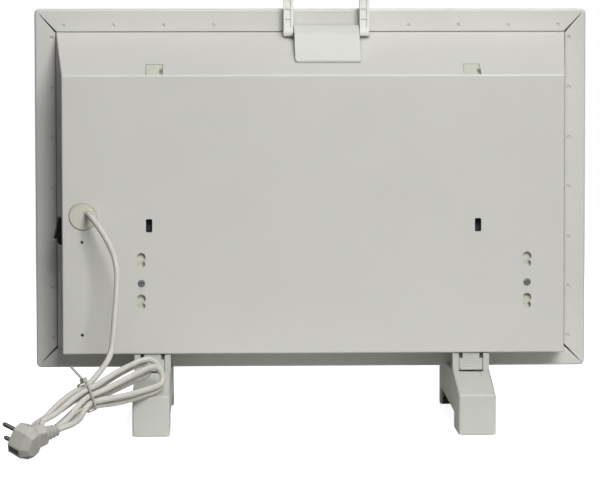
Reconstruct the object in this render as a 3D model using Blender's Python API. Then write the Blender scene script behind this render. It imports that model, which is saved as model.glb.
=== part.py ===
"""Convector heater on two clip-on feet, with its mains lead tied up in a hank.

A pressed steel front tray carries a folded rear cover, a finned element and its controls.
X runs to the right of someone who faces the front, Y towards the back and Z up.
The origin is on the floor under the middle of the feet. All lengths are in metres.
"""

import math

import bmesh
import bpy
from mathutils import Matrix, Vector

# Fits and cuts that every piece shares
GAP = 0.0003
RUNNING_GAP = 0.0004
OVERRUN = 0.002
ROUND_SIDES = 16
FINE_SIDES = 32
CORNER_STEPS = 3
SMOOTH_ANGLE = math.radians(35)
ROUND_SHARE = 0.5

# Front tray: a shallow steel pan with its rim turned in at the back
PANEL_WIDTH = 0.612
PANEL_HEIGHT = 0.3988
PANEL_BOTTOM_Z = 0.0542
TRAY_DEPTH = 0.020
TRAY_BACK_Y = -0.0328
TRAY_SHEET = 0.0012
TRAY_CORNER_RADIUS = 0.0052
TRAY_EDGE_RADIUS = 0.0026
SIDE_RETURN = 0.0230
TOP_RETURN = 0.0252
MITRE_WIDE = 0.0022
MITRE_NARROW = 0.0004
MITRE_REACH_SHARE = 0.78
CLINCH_DIAMETER = 0.0050
CLINCH_DEPTH = 0.0010
CLINCH_PITCH = 0.0555
CLINCH_INSET = 0.0187
CLINCH_END_INSET = 0.0126
CLINCH_LIFT = 0.0003
CLINCHES_UP_SIDE = 7
CLINCHES_EACH_END = 4
CLINCH_SIDES = 8

# Warm-air outlet in the top of the tray's front
OUTLET_WIDTH = 0.540
OUTLET_HEIGHT = 0.038
OUTLET_TOP_Z = 0.426
GRILLE_RIM = 0.005
GRILLE_SHEET = 0.0018
GRILLE_DEPTH = 0.006
GRILLE_BAYS = 6
GRILLE_SLOTS = 5
GRILLE_RIB = 0.004
GRILLE_BAR = 0.0022
GRILLE_TILT = math.radians(30)

# Rear cover: a folded box whose sides taper and whose top slopes down to the back
COVER_SHEET = 0.0010
COVER_FIT = 0.0009
COVER_TOP_FIT = 0.0010
COVER_DEPTH = 0.090
COVER_SIDE_TAPER = 0.0107
COVER_TOP_DROP = 0.0461
COVER_BOTTOM_RISE = 0.0014
COVER_FOLD_RADIUS = 0.0014
COVER_LIP_WIDTH = 0.0150
INLET_SLOT_LENGTH = 0.034
INLET_SLOT_WIDTH = 0.006
INLET_COLUMNS = 11
INLET_ROWS = 4
INLET_PITCH_X = 0.043
INLET_PITCH_Y = 0.0125
INLET_FIRST_Y = -0.018

# Openings in the flat rear face
TALL_SLOT_INSET = 0.0936
TALL_SLOT_Z = 0.2184
TALL_SLOT_WIDTH = 0.0068
TALL_SLOT_HEIGHT = 0.0144
TALL_SLOT_CORNER = 0.0012
KEYHOLE_INSET_RIGHT = 0.0851
KEYHOLE_INSET_LEFT = 0.0402
KEYHOLE_Z = (0.1806, 0.1356)
KEYHOLE_UPPER_RADIUS = 0.0045
KEYHOLE_LOWER_RADIUS = 0.0041
KEYHOLE_CENTRES = 0.0080
KEYHOLE_SCREW_Z = 0.1560
PLAIN_HOLE_INSET = 0.0211
PLAIN_HOLE_Z = (0.2008, 0.1002)
PLAIN_HOLE_DIAMETER = 0.0033

# Cream mouldings behind the rear face
CUP_WIDTH = 0.026
CUP_THICKNESS = 0.0095
CUP_MARGIN = 0.009
CUP_POCKET_DEPTH = 0.0042
CUP_POCKET_MARGIN = 0.0012
SCREW_HEAD_DIAMETER = 0.0080
SCREW_HEAD_HEIGHT = 0.0020
SCREW_SHANK_DIAMETER = 0.0032
SCREW_LENGTH = 0.0095
SCREW_CROSS_WIDTH = 0.0016
SCREW_CROSS_DEPTH = 0.0015
SCREW_CROSS_SHARE = 0.62
CATCH_INSET = 0.0996
CATCH_OPENING_WIDTH = 0.0185
CATCH_OPENING_SHARE = 0.24
CATCH_FOLD_MARGIN = 0.0012
CATCH_WALL = 0.0035
CATCH_DEPTH = 0.0070
CATCH_PAD_FIT = 0.0005
CATCH_PAD_SINK = 0.0003
CATCH_MOUTH_WIDTH = 0.0034
CATCH_MOUTH_SHARE = 0.42

# Mains lead and its gland
CORD_DIAMETER = 0.0062
GLAND_INSET = 0.0226
GLAND_Z = 0.2292
GLAND_DIAMETER = 0.0312
GLAND_THICKNESS = 0.0022
GLAND_GROOVE_INSET = 0.0016
GLAND_GROOVE_WIDTH = 0.0006
GLAND_GROOVE_DEPTH = 0.0007
GLAND_BARREL_DIAMETER = 0.0276
GLAND_BARREL_LENGTH = 0.0110
GLAND_HOLE_DIAMETER = 0.0282
GLAND_CORD_OFFSET_X = -0.0062
GLAND_CORD_OFFSET_Z = 0.0027
GLAND_COLLAR_DIAMETER = 0.0106
GLAND_COLLAR_HEIGHT = 0.0022

# Route of the lead from its gland to the tied hank, each point in metres
LEAD_ROUTE = (
    (0.2403, 0.0770, 0.2306),
    (0.2375, 0.0850, 0.2277),
    (0.2307, 0.0950, 0.2204),
    (0.2214, 0.1050, 0.2069),
    (0.2132, 0.1140, 0.1899),
    (0.2100, 0.1220, 0.1730),
    (0.2105, 0.1310, 0.1491),
    (0.2122, 0.1400, 0.1254),
    (0.2153, 0.1510, 0.0951),
    (0.2200, 0.1585, 0.0832),
)
LEAD_BEVEL_RESOLUTION = 3
LEAD_POINTS_PER_DIAMETER = 0.45

# Tied hank: three long loops, drawn in at the tie
HANK_CENTRE = (0.2391, 0.1884, 0.0506)
HANK_HEADING = math.radians(225.8)
HANK_RISE = math.radians(9.4)
HANK_LEAN = math.radians(20)
HANK_LEFT_RUN = 0.0620
HANK_RIGHT_RUN = 0.0915
HANK_LEFT_FOLD = 0.0068
HANK_RIGHT_FOLD = 0.0165
HANK_DROOP = 0.0150
HANK_STRAND_GAP = 0.00095
HANK_START = 0.0090
HANK_TAIL_SHARE = 0.35
HANK_TAIL_HANDLE = 0.014
HANK_RUN_SHARES = (0.16, 0.34, 0.54, 0.77, 1.0)
HANK_FOLD_STEPS = 6
HANK_TAIL_STEPS = 6
# Each pass through the tie: heading, column and row there, side and layer at the left, then at the right.
# Columns and layers are counted in strand pitches from the middle, sides in fold radii.
HANK_PASSES = (
    ("left", 1.5, -0.5, 1, -1, 1, -1),
    ("right", -0.5, -0.5, -1, -1, 0, -1),
    ("left", 0.5, -0.5, 1, 0, 0.85, -1),
    ("right", -1.5, -0.5, -1, 0, -1.1, 0),
    ("left", 1.0, 0.5, 1, 1, 1, 0),
    ("right", 0.0, 0.5, -1, 1, 0.4, 1),
    ("left", -1.0, 0.5, -1.6, 3, -0.85, 1),
)
TIE_FIT = 0.0007
TIE_WIDTH = 0.0023
TIE_THICKNESS = 0.0013
TIE_HEAD = (0.0052, 0.0060, 0.0050)
TIE_TAIL_LENGTH = 0.0200
TIE_TAIL_SLANT = math.radians(28)

# Angled earthed plug, lying on the floor at the end of the hank
PLUG_CENTRE = (0.2962, 0.2810, 0.0195)
PLUG_PIN_AIM = (0.8232, -0.4584, 0.3356)
PLUG_CORD_AIM = (-0.5678, -0.6479, 0.5078)
PLUG_NECK_LEAN = math.radians(30)
PLUG_FACE_SHARE = 0.95
PLUG_FLAT_REACH = 0.0180
PLUG_CORNER_REACH = 0.0166
PLUG_FACE_REACH = 0.0092
PLUG_RIM_REACH = 0.0065
PLUG_BACK_REACH = 0.0120
PLUG_BACK_LENGTH = 0.0070
PLUG_EDGE = 0.0009
PLUG_DENT_RADIUS = 0.0022
PLUG_DENT_DEPTH = 0.0006
PLUG_NECK_REACH = 0.0230
PLUG_NECK_WIDTH = 0.0180
PLUG_NECK_ROOT_WIDTH = 0.0270
PLUG_NECK_THICKNESS = 0.0140
PLUG_NECK_EDGE = 0.0024
PLUG_RELIEF_REACH = 0.0355
PLUG_RELIEF_ROOT_RADIUS = 0.0084
PLUG_RELIEF_TIP_RADIUS = 0.0060
PLUG_RELIEF_FLAT_SHARE = 0.72
PLUG_RELIEF_RIBS = 4
PLUG_RELIEF_RIB_HEIGHT = 0.0012
PLUG_PIN_DIAMETER = 0.0048
PLUG_PIN_LENGTH = 0.0180
PLUG_PIN_SPACING = 0.0190
PLUG_PIN_ROOT = 0.0050
PLUG_CLIP_WIDTH = 0.0080
PLUG_CLIP_THICKNESS = 0.0009
PLUG_CLIP_GROOVE = 0.0022
PLUG_CLIP_START = 0.0015

# Inside end of the lead, its clamp and the terminal block above the gland
INNER_CORD_REAR_CLEAR = 0.0272
INNER_CORD_BEND = 0.0150
CLAMP_WIDTH = 0.0180
CLAMP_RISE = 0.0181
CLAMP_HEIGHT = 0.0080
CLAMP_FRONT_CLEAR = 0.0332
BLOCK_WIDTH = 0.0300
BLOCK_OFFSET_X = -0.0048
BLOCK_RISE = 0.0060
BLOCK_HEIGHT = 0.0220
BLOCK_FRONT_CLEAR = 0.0332
BLOCK_POLES = 3
BLOCK_WELL_DIAMETER = 0.0056
BLOCK_WELL_DEPTH = 0.0050
WIRE_DIAMETER = 0.0022

# Rocker switch in the right side wall, described along, up and out of that wall
SWITCH_REAR_CLEAR = 0.0242
SWITCH_Z = 0.2118
SWITCH_BEZEL_LENGTH = 0.0250
SWITCH_BEZEL_HEIGHT = 0.0290
SWITCH_BEZEL_PROUD = 0.0030
SWITCH_BODY_LENGTH = 0.0214
SWITCH_BODY_HEIGHT = 0.0262
SWITCH_BODY_DEPTH = 0.0205
SWITCH_WELL_DEPTH = 0.0100
ROCKER_LENGTH = 0.0176
ROCKER_HALF_HEIGHT = 0.0092
ROCKER_END_RISE = 0.0054
ROCKER_MIDDLE_RISE = 0.0050
ROCKER_SKIRT = 0.0030
ROCKER_KEEL = 0.0060
ROCKER_KEEL_HALF = 0.0030
ROCKER_THROW = math.radians(12)
ROCKER_PIN_DIAMETER = 0.0026
ROCKER_PIN_REACH = 0.0011
ROCKER_CLEARANCE = 0.0013
SWITCH_TAB_COUNT = 3
SWITCH_TAB_PITCH = 0.0070
SWITCH_TAB_LENGTH = 0.0050
SWITCH_TAB_WIDTH = 0.0040
SWITCH_TAB_THICKNESS = 0.0008

# Thermostat with its sunk knob, in the same wall
THERMOSTAT_REAR_CLEAR = 0.0450
THERMOSTAT_Z = 0.1436
DIAL_FLANGE_DIAMETER = 0.0440
DIAL_FLANGE_PROUD = 0.0010
DIAL_CUP_DIAMETER = 0.0400
DIAL_CUP_WALL = 0.0014
DIAL_CUP_DEPTH = 0.0125
KNOB_CLEARANCE = 0.0006
KNOB_BASE_HEIGHT = 0.0045
KNOB_PROUD = 0.0004
KNOB_GRIP_WIDTH = 0.0075
KNOB_MARK_WIDTH = 0.0012
KNOB_MARK_DEPTH = 0.0006
SPINDLE_DIAMETER = 0.0060
SPINDLE_KNOB_REACH = 0.0070
SPINDLE_BODY_REACH = 0.0040
THERMOSTAT_SIZE = 0.0300
THERMOSTAT_DEPTH = 0.0140

# Heating element, its mounts and the air guide
ELEMENT_REAR_CLEAR = 0.0492
ELEMENT_Z = 0.1500
ELEMENT_CUP_CLEARANCE = 0.0025
ELEMENT_FIN_DEPTH = 0.0500
ELEMENT_FIN_HEIGHT = 0.0360
ELEMENT_BODY_HEIGHT = 0.0120
ELEMENT_FINS = 24
ELEMENT_FIN_THICKNESS = 0.0020
ELEMENT_ROD_DIAMETER = 0.0090
ELEMENT_ROD_REACH = 0.0240
INSULATOR_DIAMETER = 0.0180
INSULATOR_LENGTH = 0.0120
INSULATOR_INSET = 0.0060
ELEMENT_BRACKET_SHEET = 0.0015
ELEMENT_BRACKET_HEIGHT = 0.0440
ELEMENT_BRACKET_REACH = 0.0140
ELEMENT_BRACKET_FLANGE = 0.0100
SHIELD_SHEET = 0.0010
SHIELD_REAR_CLEAR = 0.0152
SHIELD_BOTTOM_Z = 0.1080
SHIELD_BEND_Z = 0.3200
SHIELD_TOP_CLEAR = 0.0692
SHIELD_TOP_Z = 0.3800
CUTOUT_DIAMETER = 0.0160
CUTOUT_THICKNESS = 0.0070
CUTOUT_X = 0.1200
CUTOUT_Z = 0.2150

# Fold-down carrying handle and the bracket that it turns in
HANDLE_CENTRE_X = -0.0167
HANDLE_PIVOT_Y = -0.0205
HANDLE_PIVOT_Z = 0.4272
BRACKET_WIDTH = 0.0714
BRACKET_BARREL_RADIUS = 0.0074
BRACKET_BARREL_END = 56
BRACKET_KNEE_SHARE = 0.265
BRACKET_KNEE_LIFT = 0.0122
BRACKET_PLATE_THICKNESS = 0.0030
BRACKET_LENGTH_SHARE = 0.725
BRACKET_TOP_Z = 0.4318
BRACKET_LIP = 0.0040
BRACKET_CORNER = 0.0030
HANDLE_SIDE_GAP = 0.0010
HANDLE_ARM_WIDTH = 0.0105
HANDLE_ARM_DEPTH = 0.0108
HANDLE_GRIP_RADIUS = 0.0784
HANDLE_GRIP_HEIGHT = 0.0165
HANDLE_GRIP_ROUND = 0.0040
HANDLE_POCKET_START = 0.0044
HANDLE_POCKET_PITCH = 0.0110
HANDLE_POCKET_COUNT = 6
HANDLE_POCKET_RIB = 0.0013
HANDLE_POCKET_WIDTH = 0.0062
HANDLE_POCKET_DEPTH = 0.0014
HANDLE_POCKET_WALL = 0.0016
HANDLE_PIN_DIAMETER = 0.0034
HANDLE_PIN_ENTRY = 0.0070

# Feet, the same for both sides: the outline is in Y and Z
FOOT_SPACING = 0.3454
FOOT_OFFSET_X = 0.0020
FOOT_WIDTH = 0.0394
FOOT_LENGTH = 0.2605
FOOT_WALL = 0.0025
FOOT_LIFT = 0.0007
FOOT_EDGE = 0.0020
REAR_TOE_HEIGHT = 0.0433
REAR_TOE_LENGTH = 0.0600
FRONT_TOE_HEIGHT = 0.0460
FRONT_TOE_LENGTH = 0.0220
TOE_CHAMFER = 0.0016
ARCH_FRONT_Z = 0.0212
ARCH_REAR_Z = 0.0172
SHOULDER_Z = 0.0592
BRIDGE_Z = 0.0575
NECK_DEPTH = 0.0165
NECK_INSET = 0.0030
SADDLE_LIP_HEIGHT = 0.0030
SADDLE_LIP_THICKNESS = 0.0026
SCOOP_WIDTH = 0.0200
SCOOP_LENGTH = 0.0150
SCOOP_DEPTH = 0.0006
PAD_THICKNESS = 0.0060
FRONT_PAD_LENGTH = 0.0150
REAR_PAD_LENGTH = 0.0400

# Snap latch in each foot's neck
LATCH_WIDTH = 0.0255
LATCH_THICKNESS = 0.0028
LATCH_RECESS = 0.0006
LATCH_BOTTOM_Z = 0.0602
LATCH_SLOT_HEIGHT = 0.0018
LATCH_NOTCH_WIDTH = 0.0036
LATCH_NOTCH_HEIGHT = 0.0065
LATCH_LIP = 0.0014
LATCH_LIP_HEIGHT = 0.0016
LATCH_SIDE_GAP = 0.0004
LATCH_WINDOW_DEPTH = 0.0085
LATCH_PIVOT_Z = 0.0688
LATCH_PIVOT_DIAMETER = 0.0020
LATCH_PIVOT_REACH = 0.0020
LATCH_HOOK_HEIGHT = 0.0034
LATCH_BARB = 0.0016
LATCH_SLOT_MARGIN = 0.0009
LATCH_SWING_ROOM = 0.0016
LATCH_WALL_CLEAR = 0.0025

# Places that follow from the sizes above
PANEL_HALF = PANEL_WIDTH / 2
PANEL_TOP_Z = PANEL_BOTTOM_Z + PANEL_HEIGHT
TRAY_FRONT_Y = TRAY_BACK_Y - TRAY_DEPTH
TRAY_INNER_BACK_Y = TRAY_BACK_Y - TRAY_SHEET
REAR_Y = TRAY_BACK_Y + COVER_DEPTH
REAR_INNER_Y = REAR_Y - COVER_SHEET
SWITCH_Y = REAR_Y - SWITCH_REAR_CLEAR
THERMOSTAT_Y = REAR_Y - THERMOSTAT_REAR_CLEAR
ELEMENT_Y = REAR_Y - ELEMENT_REAR_CLEAR
SHIELD_Y = REAR_Y - SHIELD_REAR_CLEAR
SHIELD_TOP_Y = REAR_Y - SHIELD_TOP_CLEAR
INNER_CORD_Y = REAR_Y - INNER_CORD_REAR_CLEAR
CLAMP_FRONT_Y = REAR_Y - CLAMP_FRONT_CLEAR
BLOCK_FRONT_Y = REAR_Y - BLOCK_FRONT_CLEAR
LIP_BACK_Y = TRAY_INNER_BACK_Y - GAP
LIP_FRONT_Y = LIP_BACK_Y - COVER_SHEET
COVER_HALF = PANEL_HALF - SIDE_RETURN - COVER_FIT
COVER_TOP_Z = PANEL_TOP_Z - TOP_RETURN - COVER_TOP_FIT
COVER_BOTTOM_Z = PANEL_BOTTOM_Z + SIDE_RETURN + COVER_FIT
REAR_HALF = COVER_HALF - COVER_SIDE_TAPER
TALL_SLOT_X = REAR_HALF - TALL_SLOT_INSET
KEYHOLE_X = (REAR_HALF - KEYHOLE_INSET_RIGHT, KEYHOLE_INSET_LEFT - REAR_HALF)
PLAIN_HOLE_X = REAR_HALF - PLAIN_HOLE_INSET
CATCH_X = REAR_HALF - CATCH_INSET
GLAND_X = REAR_HALF - GLAND_INSET
CORD_RADIUS = CORD_DIAMETER / 2
CORD_X = GLAND_X + GLAND_CORD_OFFSET_X
CORD_Z = GLAND_Z + GLAND_CORD_OFFSET_Z
CORD_EXIT_Y = REAR_Y + GLAND_THICKNESS + GLAND_COLLAR_HEIGHT
CLAMP_BOTTOM_Z = CORD_Z + CLAMP_RISE
BLOCK_X = CORD_X + BLOCK_OFFSET_X
BLOCK_BOTTOM_Z = CLAMP_BOTTOM_Z + CLAMP_HEIGHT + BLOCK_RISE
ELEMENT_PLATE_X = KEYHOLE_X[0] + CUP_WIDTH / 2 + ELEMENT_CUP_CLEARANCE
ELEMENT_FIN_SPAN = 2 * (ELEMENT_PLATE_X - INSULATOR_INSET - INSULATOR_LENGTH / 2)
HANK_PITCH = CORD_DIAMETER + HANK_STRAND_GAP
FOOT_HALF = FOOT_LENGTH / 2
NECK_BACK_Y = REAR_Y - NECK_INSET
NECK_FRONT_Y = NECK_BACK_Y - NECK_DEPTH
LATCH_BACK_Y = NECK_BACK_Y - LATCH_RECESS
LATCH_FRONT_Y = LATCH_BACK_Y - LATCH_THICKNESS


def clear_scene():
    """Removes whatever the scene holds."""
    for obj in list(bpy.data.objects):
        bpy.data.objects.remove(obj, do_unlink=True)


def finish(name, colour, roughness, metallic=0.0):
    """A Principled material of one colour."""
    material = bpy.data.materials.new(name)
    material.use_nodes = True
    shader = material.node_tree.nodes["Principled BSDF"]
    shader.inputs["Base Color"].default_value = (*colour, 1)
    shader.inputs["Roughness"].default_value = roughness
    shader.inputs["Metallic"].default_value = metallic
    return material


def along_axis(axis, across, place):
    """A point from its two coordinates across an axis and its place along it."""
    first, second = across
    if axis == "X":
        return Vector((place, first, second))
    if axis == "Y":
        return Vector((first, place, second))
    return Vector((first, second, place))


def add_box(bm, low, high):
    """Adds a box between two opposite corners."""
    low = Vector(low)
    high = Vector(high)
    scale = Matrix.Diagonal((*(high - low), 1))
    matrix = Matrix.Translation((low + high) / 2) @ scale
    return bmesh.ops.create_cube(bm, size=1, matrix=matrix)["verts"]


def add_prism(bm, axis, outline, start, end):
    """Adds a closed outline, given across the axis, drawn out from start to end."""
    near = [bm.verts.new(along_axis(axis, point, start)) for point in outline]
    far = [bm.verts.new(along_axis(axis, point, end)) for point in outline]
    bm.faces.new(near)
    bm.faces.new(far[::-1])
    for i in range(len(outline)):
        j = (i + 1) % len(outline)
        bm.faces.new((near[j], near[i], far[i], far[j]))
    return near + far


def circle(centre, radius, sides, start=0.0):
    """The points of a regular outline round a centre."""
    turns = [start + math.tau * i / sides for i in range(sides)]
    return [(centre[0] + radius * math.cos(t), centre[1] + radius * math.sin(t)) for t in turns]


def arc(centre, radius, first, last, steps):
    """Points along an arc between two angles in degrees, both ends counted."""
    angles = [math.radians(first + (last - first) * i / steps) for i in range(steps + 1)]
    return [(centre[0] + radius * math.cos(a), centre[1] + radius * math.sin(a)) for a in angles]


def add_round(bm, axis, centre, radius, start, end, sides=ROUND_SIDES, end_radius=None):
    """Adds a cylinder or a cone along an axis."""
    if end_radius is None:
        end_radius = radius
    near = [bm.verts.new(along_axis(axis, p, start)) for p in circle(centre, radius, sides)]
    far = [bm.verts.new(along_axis(axis, p, end)) for p in circle(centre, end_radius, sides)]
    bm.faces.new(near)
    bm.faces.new(far[::-1])
    for i in range(sides):
        j = (i + 1) % sides
        bm.faces.new((near[j], near[i], far[i], far[j]))


def add_object(name, bm, frame=None, origin=None):
    """Makes an object of a bmesh, hung under a frame and with its origin at a given point."""
    bmesh.ops.recalc_face_normals(bm, faces=bm.faces)
    if origin is not None:
        bmesh.ops.translate(bm, vec=-Vector(origin), verts=bm.verts)
    mesh = bpy.data.meshes.new(name)
    bm.to_mesh(mesh)
    bm.free()
    obj = bpy.data.objects.new(name, mesh)
    bpy.context.scene.collection.objects.link(obj)
    if origin is not None:
        obj.location = origin
    if frame is not None:
        obj.parent = frame
    return obj


def add_piece(name, bm, material, frame=None, origin=None):
    """A piece of the heater: an object that shows, with its material and smooth round faces."""
    obj = add_object(name, bm, frame, origin)
    obj.data.materials.append(material)
    obj.data.shade_smooth()
    obj.data.set_sharp_from_angle(angle=SMOOTH_ANGLE)
    return obj


def add_tool(name, bm, frame=None):
    """A shape that only cuts or joins another."""
    obj = add_object(name, bm, frame)
    obj.hide_render = True
    obj.display_type = "WIRE"
    return obj


def combine(obj, tool, operation):
    """Cuts a tool out of an object, or joins it on."""
    modifier = obj.modifiers.new(f"{operation.title()} {tool.name}", "BOOLEAN")
    modifier.operation = operation
    modifier.solver = "EXACT"
    modifier.object = tool


def cut(obj, tool):
    """Takes a tool's shape out of an object."""
    combine(obj, tool, "DIFFERENCE")


def join(obj, tool):
    """Adds a tool's shape to an object."""
    combine(obj, tool, "UNION")


def bevel_edges(bm, edges, width, steps):
    """Rounds chosen edges."""
    bmesh.ops.bevel(
        bm,
        geom=list(edges),
        offset=width,
        segments=steps,
        profile=ROUND_SHARE,
        affect="EDGES",
    )


def cover_share(y):
    """How far back a place lies on the cover, from 0 at the tray to 1 at the rear face."""
    return (y - TRAY_BACK_Y) / COVER_DEPTH


def cover_half_at(y):
    """Half the cover's width at a depth."""
    return COVER_HALF - COVER_SIDE_TAPER * cover_share(y)


def cover_top_at(y):
    """The height of the cover's sloped top at a depth."""
    return COVER_TOP_Z - COVER_TOP_DROP * cover_share(y)


def cover_bottom_at(y):
    """The height of the cover's underside at a depth."""
    return COVER_BOTTOM_Z + COVER_BOTTOM_RISE * cover_share(y)


def slope_point(share, lift):
    """A point in Y and Z on the sloped top, a share of the way back, lifted square to it."""
    length = math.hypot(COVER_DEPTH, COVER_TOP_DROP)
    y = TRAY_BACK_Y + share * COVER_DEPTH + lift * COVER_TOP_DROP / length
    z = COVER_TOP_Z - share * COVER_TOP_DROP + lift * COVER_DEPTH / length
    return y, z


def add_frame(name, matrix):
    """An empty that pieces are placed under."""
    frame = bpy.data.objects.new(name, None)
    frame.matrix_world = matrix
    bpy.context.scene.collection.objects.link(frame)
    return frame


def side_wall_frame(name, y, z):
    """A frame on the right side wall: X along the wall to the back, Y up and Z out of it."""
    length = math.hypot(COVER_DEPTH, COVER_SIDE_TAPER)
    along = Vector((-COVER_SIDE_TAPER, COVER_DEPTH, 0)) / length
    out = Vector((COVER_DEPTH, COVER_SIDE_TAPER, 0)) / length
    matrix = Matrix((along, Vector((0, 0, 1)), out)).transposed().to_4x4()
    matrix.translation = Vector((cover_half_at(y), y, z))
    return add_frame(name, matrix)


def clinch_places():
    """Centres in X and Z of the clinched dimples round the tray's turned rim."""
    side = PANEL_HALF - CLINCH_INSET
    top = PANEL_TOP_Z - CLINCH_INSET
    bottom = PANEL_BOTTOM_Z + CLINCH_INSET
    middle = (PANEL_BOTTOM_Z + PANEL_TOP_Z) / 2 + CLINCH_LIFT
    places = []
    for i in range(CLINCHES_UP_SIDE):
        z = middle + (i - (CLINCHES_UP_SIDE - 1) / 2) * CLINCH_PITCH
        places += [(side, z), (-side, z)]
    outermost = side - CLINCH_END_INSET
    for i in range(CLINCHES_EACH_END):
        x = outermost - i * CLINCH_PITCH
        places += [(x, top), (-x, top), (x, bottom), (-x, bottom)]
    return places


def round_tray(bm, inset):
    """Rounds the tray's four corners, then the edges of its front and back."""
    corners, rims = [], []
    for edge in bm.edges:
        a, b = (v.co for v in edge.verts)
        if abs(a.y - b.y) > GAP:
            corners.append(edge)
    bevel_edges(bm, corners, TRAY_CORNER_RADIUS - inset, CORNER_STEPS)
    for edge in bm.edges:
        a, b = (v.co for v in edge.verts)
        if abs(a.y - b.y) < GAP:
            rims.append(edge)
    bevel_edges(bm, rims, TRAY_EDGE_RADIUS - inset, CORNER_STEPS)


def front_tray(paint):
    """The front panel: a pan with a turned-in rim, mitred at the corners."""
    bm = bmesh.new()
    low = (-PANEL_HALF, TRAY_FRONT_Y, PANEL_BOTTOM_Z)
    high = (PANEL_HALF, TRAY_BACK_Y, PANEL_TOP_Z)
    add_box(bm, low, high)
    round_tray(bm, 0)
    tray = add_piece("front_panel", bm, paint)

    bm = bmesh.new()
    sheet = Vector((TRAY_SHEET, TRAY_SHEET, TRAY_SHEET))
    add_box(bm, Vector(low) + sheet, Vector(high) - sheet)
    round_tray(bm, TRAY_SHEET)
    cut(tray, add_tool("tray_inside", bm))

    bm = bmesh.new()
    add_box(
        bm,
        (-PANEL_HALF + SIDE_RETURN, TRAY_INNER_BACK_Y - OVERRUN, PANEL_BOTTOM_Z + SIDE_RETURN),
        (PANEL_HALF - SIDE_RETURN, TRAY_BACK_Y + OVERRUN, PANEL_TOP_Z - TOP_RETURN),
    )
    add_box(
        bm,
        (-OUTLET_WIDTH / 2, TRAY_FRONT_Y - OVERRUN, OUTLET_TOP_Z - OUTLET_HEIGHT),
        (OUTLET_WIDTH / 2, TRAY_FRONT_Y + TRAY_SHEET + OVERRUN, OUTLET_TOP_Z),
    )
    cut(tray, add_tool("tray_openings", bm))
    cut(tray, tray_mitres())
    cut(tray, tray_dimples())


def tray_mitres():
    """Wedges that open the rim's corner mitres, widest at the inner corner."""
    bm = bmesh.new()
    for side in (1, -1):
        for base_z, return_width, rise in (
            (PANEL_BOTTOM_Z, SIDE_RETURN, 1),
            (PANEL_TOP_Z, TOP_RETURN, -1),
        ):
            inner = Vector((side * (PANEL_HALF - SIDE_RETURN), base_z + rise * return_width))
            outer = Vector((side * PANEL_HALF, base_z))
            line = outer - inner
            reach = line * MITRE_REACH_SHARE
            across = line.orthogonal().normalized()
            start = inner - line.normalized() * MITRE_WIDE
            tip = inner + reach
            outline = (
                start + across * MITRE_WIDE / 2,
                start - across * MITRE_WIDE / 2,
                tip - across * MITRE_NARROW / 2,
                tip + across * MITRE_NARROW / 2,
            )
            add_prism(bm, "Y", outline, TRAY_INNER_BACK_Y - OVERRUN, TRAY_BACK_Y + OVERRUN)
    return add_tool("tray_mitres", bm)


def tray_dimples():
    """Shallow cones that dent the rim where it is clinched to the cover's lip."""
    bm = bmesh.new()
    radius = CLINCH_DIAMETER / 2
    for place in clinch_places():
        add_round(
            bm,
            "Y",
            place,
            radius / 2,
            TRAY_BACK_Y - CLINCH_DEPTH,
            TRAY_BACK_Y + CLINCH_DEPTH,
            CLINCH_SIDES,
            radius * 3 / 2,
        )
    return add_tool("tray_dimples", bm)


def outlet_grille(plastic):
    """The grille behind the warm-air outlet, with slanted bars between ribs."""
    half = OUTLET_WIDTH / 2 - GAP
    top = OUTLET_TOP_Z - GAP
    bottom = OUTLET_TOP_Z - OUTLET_HEIGHT + GAP
    plate_front = TRAY_FRONT_Y + TRAY_SHEET + GAP
    front = TRAY_FRONT_Y + TRAY_SHEET / 4
    back = plate_front + GRILLE_DEPTH
    bm = bmesh.new()
    add_box(bm, (-half, front, bottom), (half, back, top))
    grille = add_piece("outlet_grille", bm, plastic)

    bm = bmesh.new()
    add_box(
        bm,
        (-half - GRILLE_RIM, plate_front, bottom - GRILLE_RIM),
        (half + GRILLE_RIM, plate_front + GRILLE_SHEET, min(top + GRILLE_RIM, PANEL_TOP_Z)),
    )
    join(grille, add_tool("grille_rim", bm))

    bm = bmesh.new()
    bay = (2 * half - GRILLE_RIB) / GRILLE_BAYS
    pitch = (top - bottom - GRILLE_BAR) / GRILLE_SLOTS
    lean = math.tan(GRILLE_TILT) * (back - front) / 2
    for column in range(GRILLE_BAYS):
        left = -half + GRILLE_RIB + column * bay
        for row in range(GRILLE_SLOTS):
            low = bottom + GRILLE_BAR + row * pitch
            high = low + pitch - GRILLE_BAR
            reach = OVERRUN * math.tan(GRILLE_TILT)
            outline = (
                (front - OVERRUN, low + lean + reach),
                (back + OVERRUN, low - lean - reach),
                (back + OVERRUN, high - lean - reach),
                (front - OVERRUN, high + lean + reach),
            )
            add_prism(bm, "X", outline, left, left + bay - GRILLE_RIB)
    cut(grille, add_tool("grille_slots", bm))


def add_cover_form(bm, inset, front_y, back_y):
    """Adds the cover's tapered form, drawn in by inset on every outer side."""
    rings = []
    for y in (front_y, back_y):
        half = cover_half_at(y) - inset
        low = cover_bottom_at(y) + inset
        high = cover_top_at(y) - inset
        corners = ((-half, low), (half, low), (half, high), (-half, high))
        rings.append([bm.verts.new((x, y, z)) for x, z in corners])
    near, far = rings
    bm.faces.new(near)
    bm.faces.new(far[::-1])
    for i in range(len(near)):
        j = (i + 1) % len(near)
        bm.faces.new((near[j], near[i], far[i], far[j]))


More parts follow.
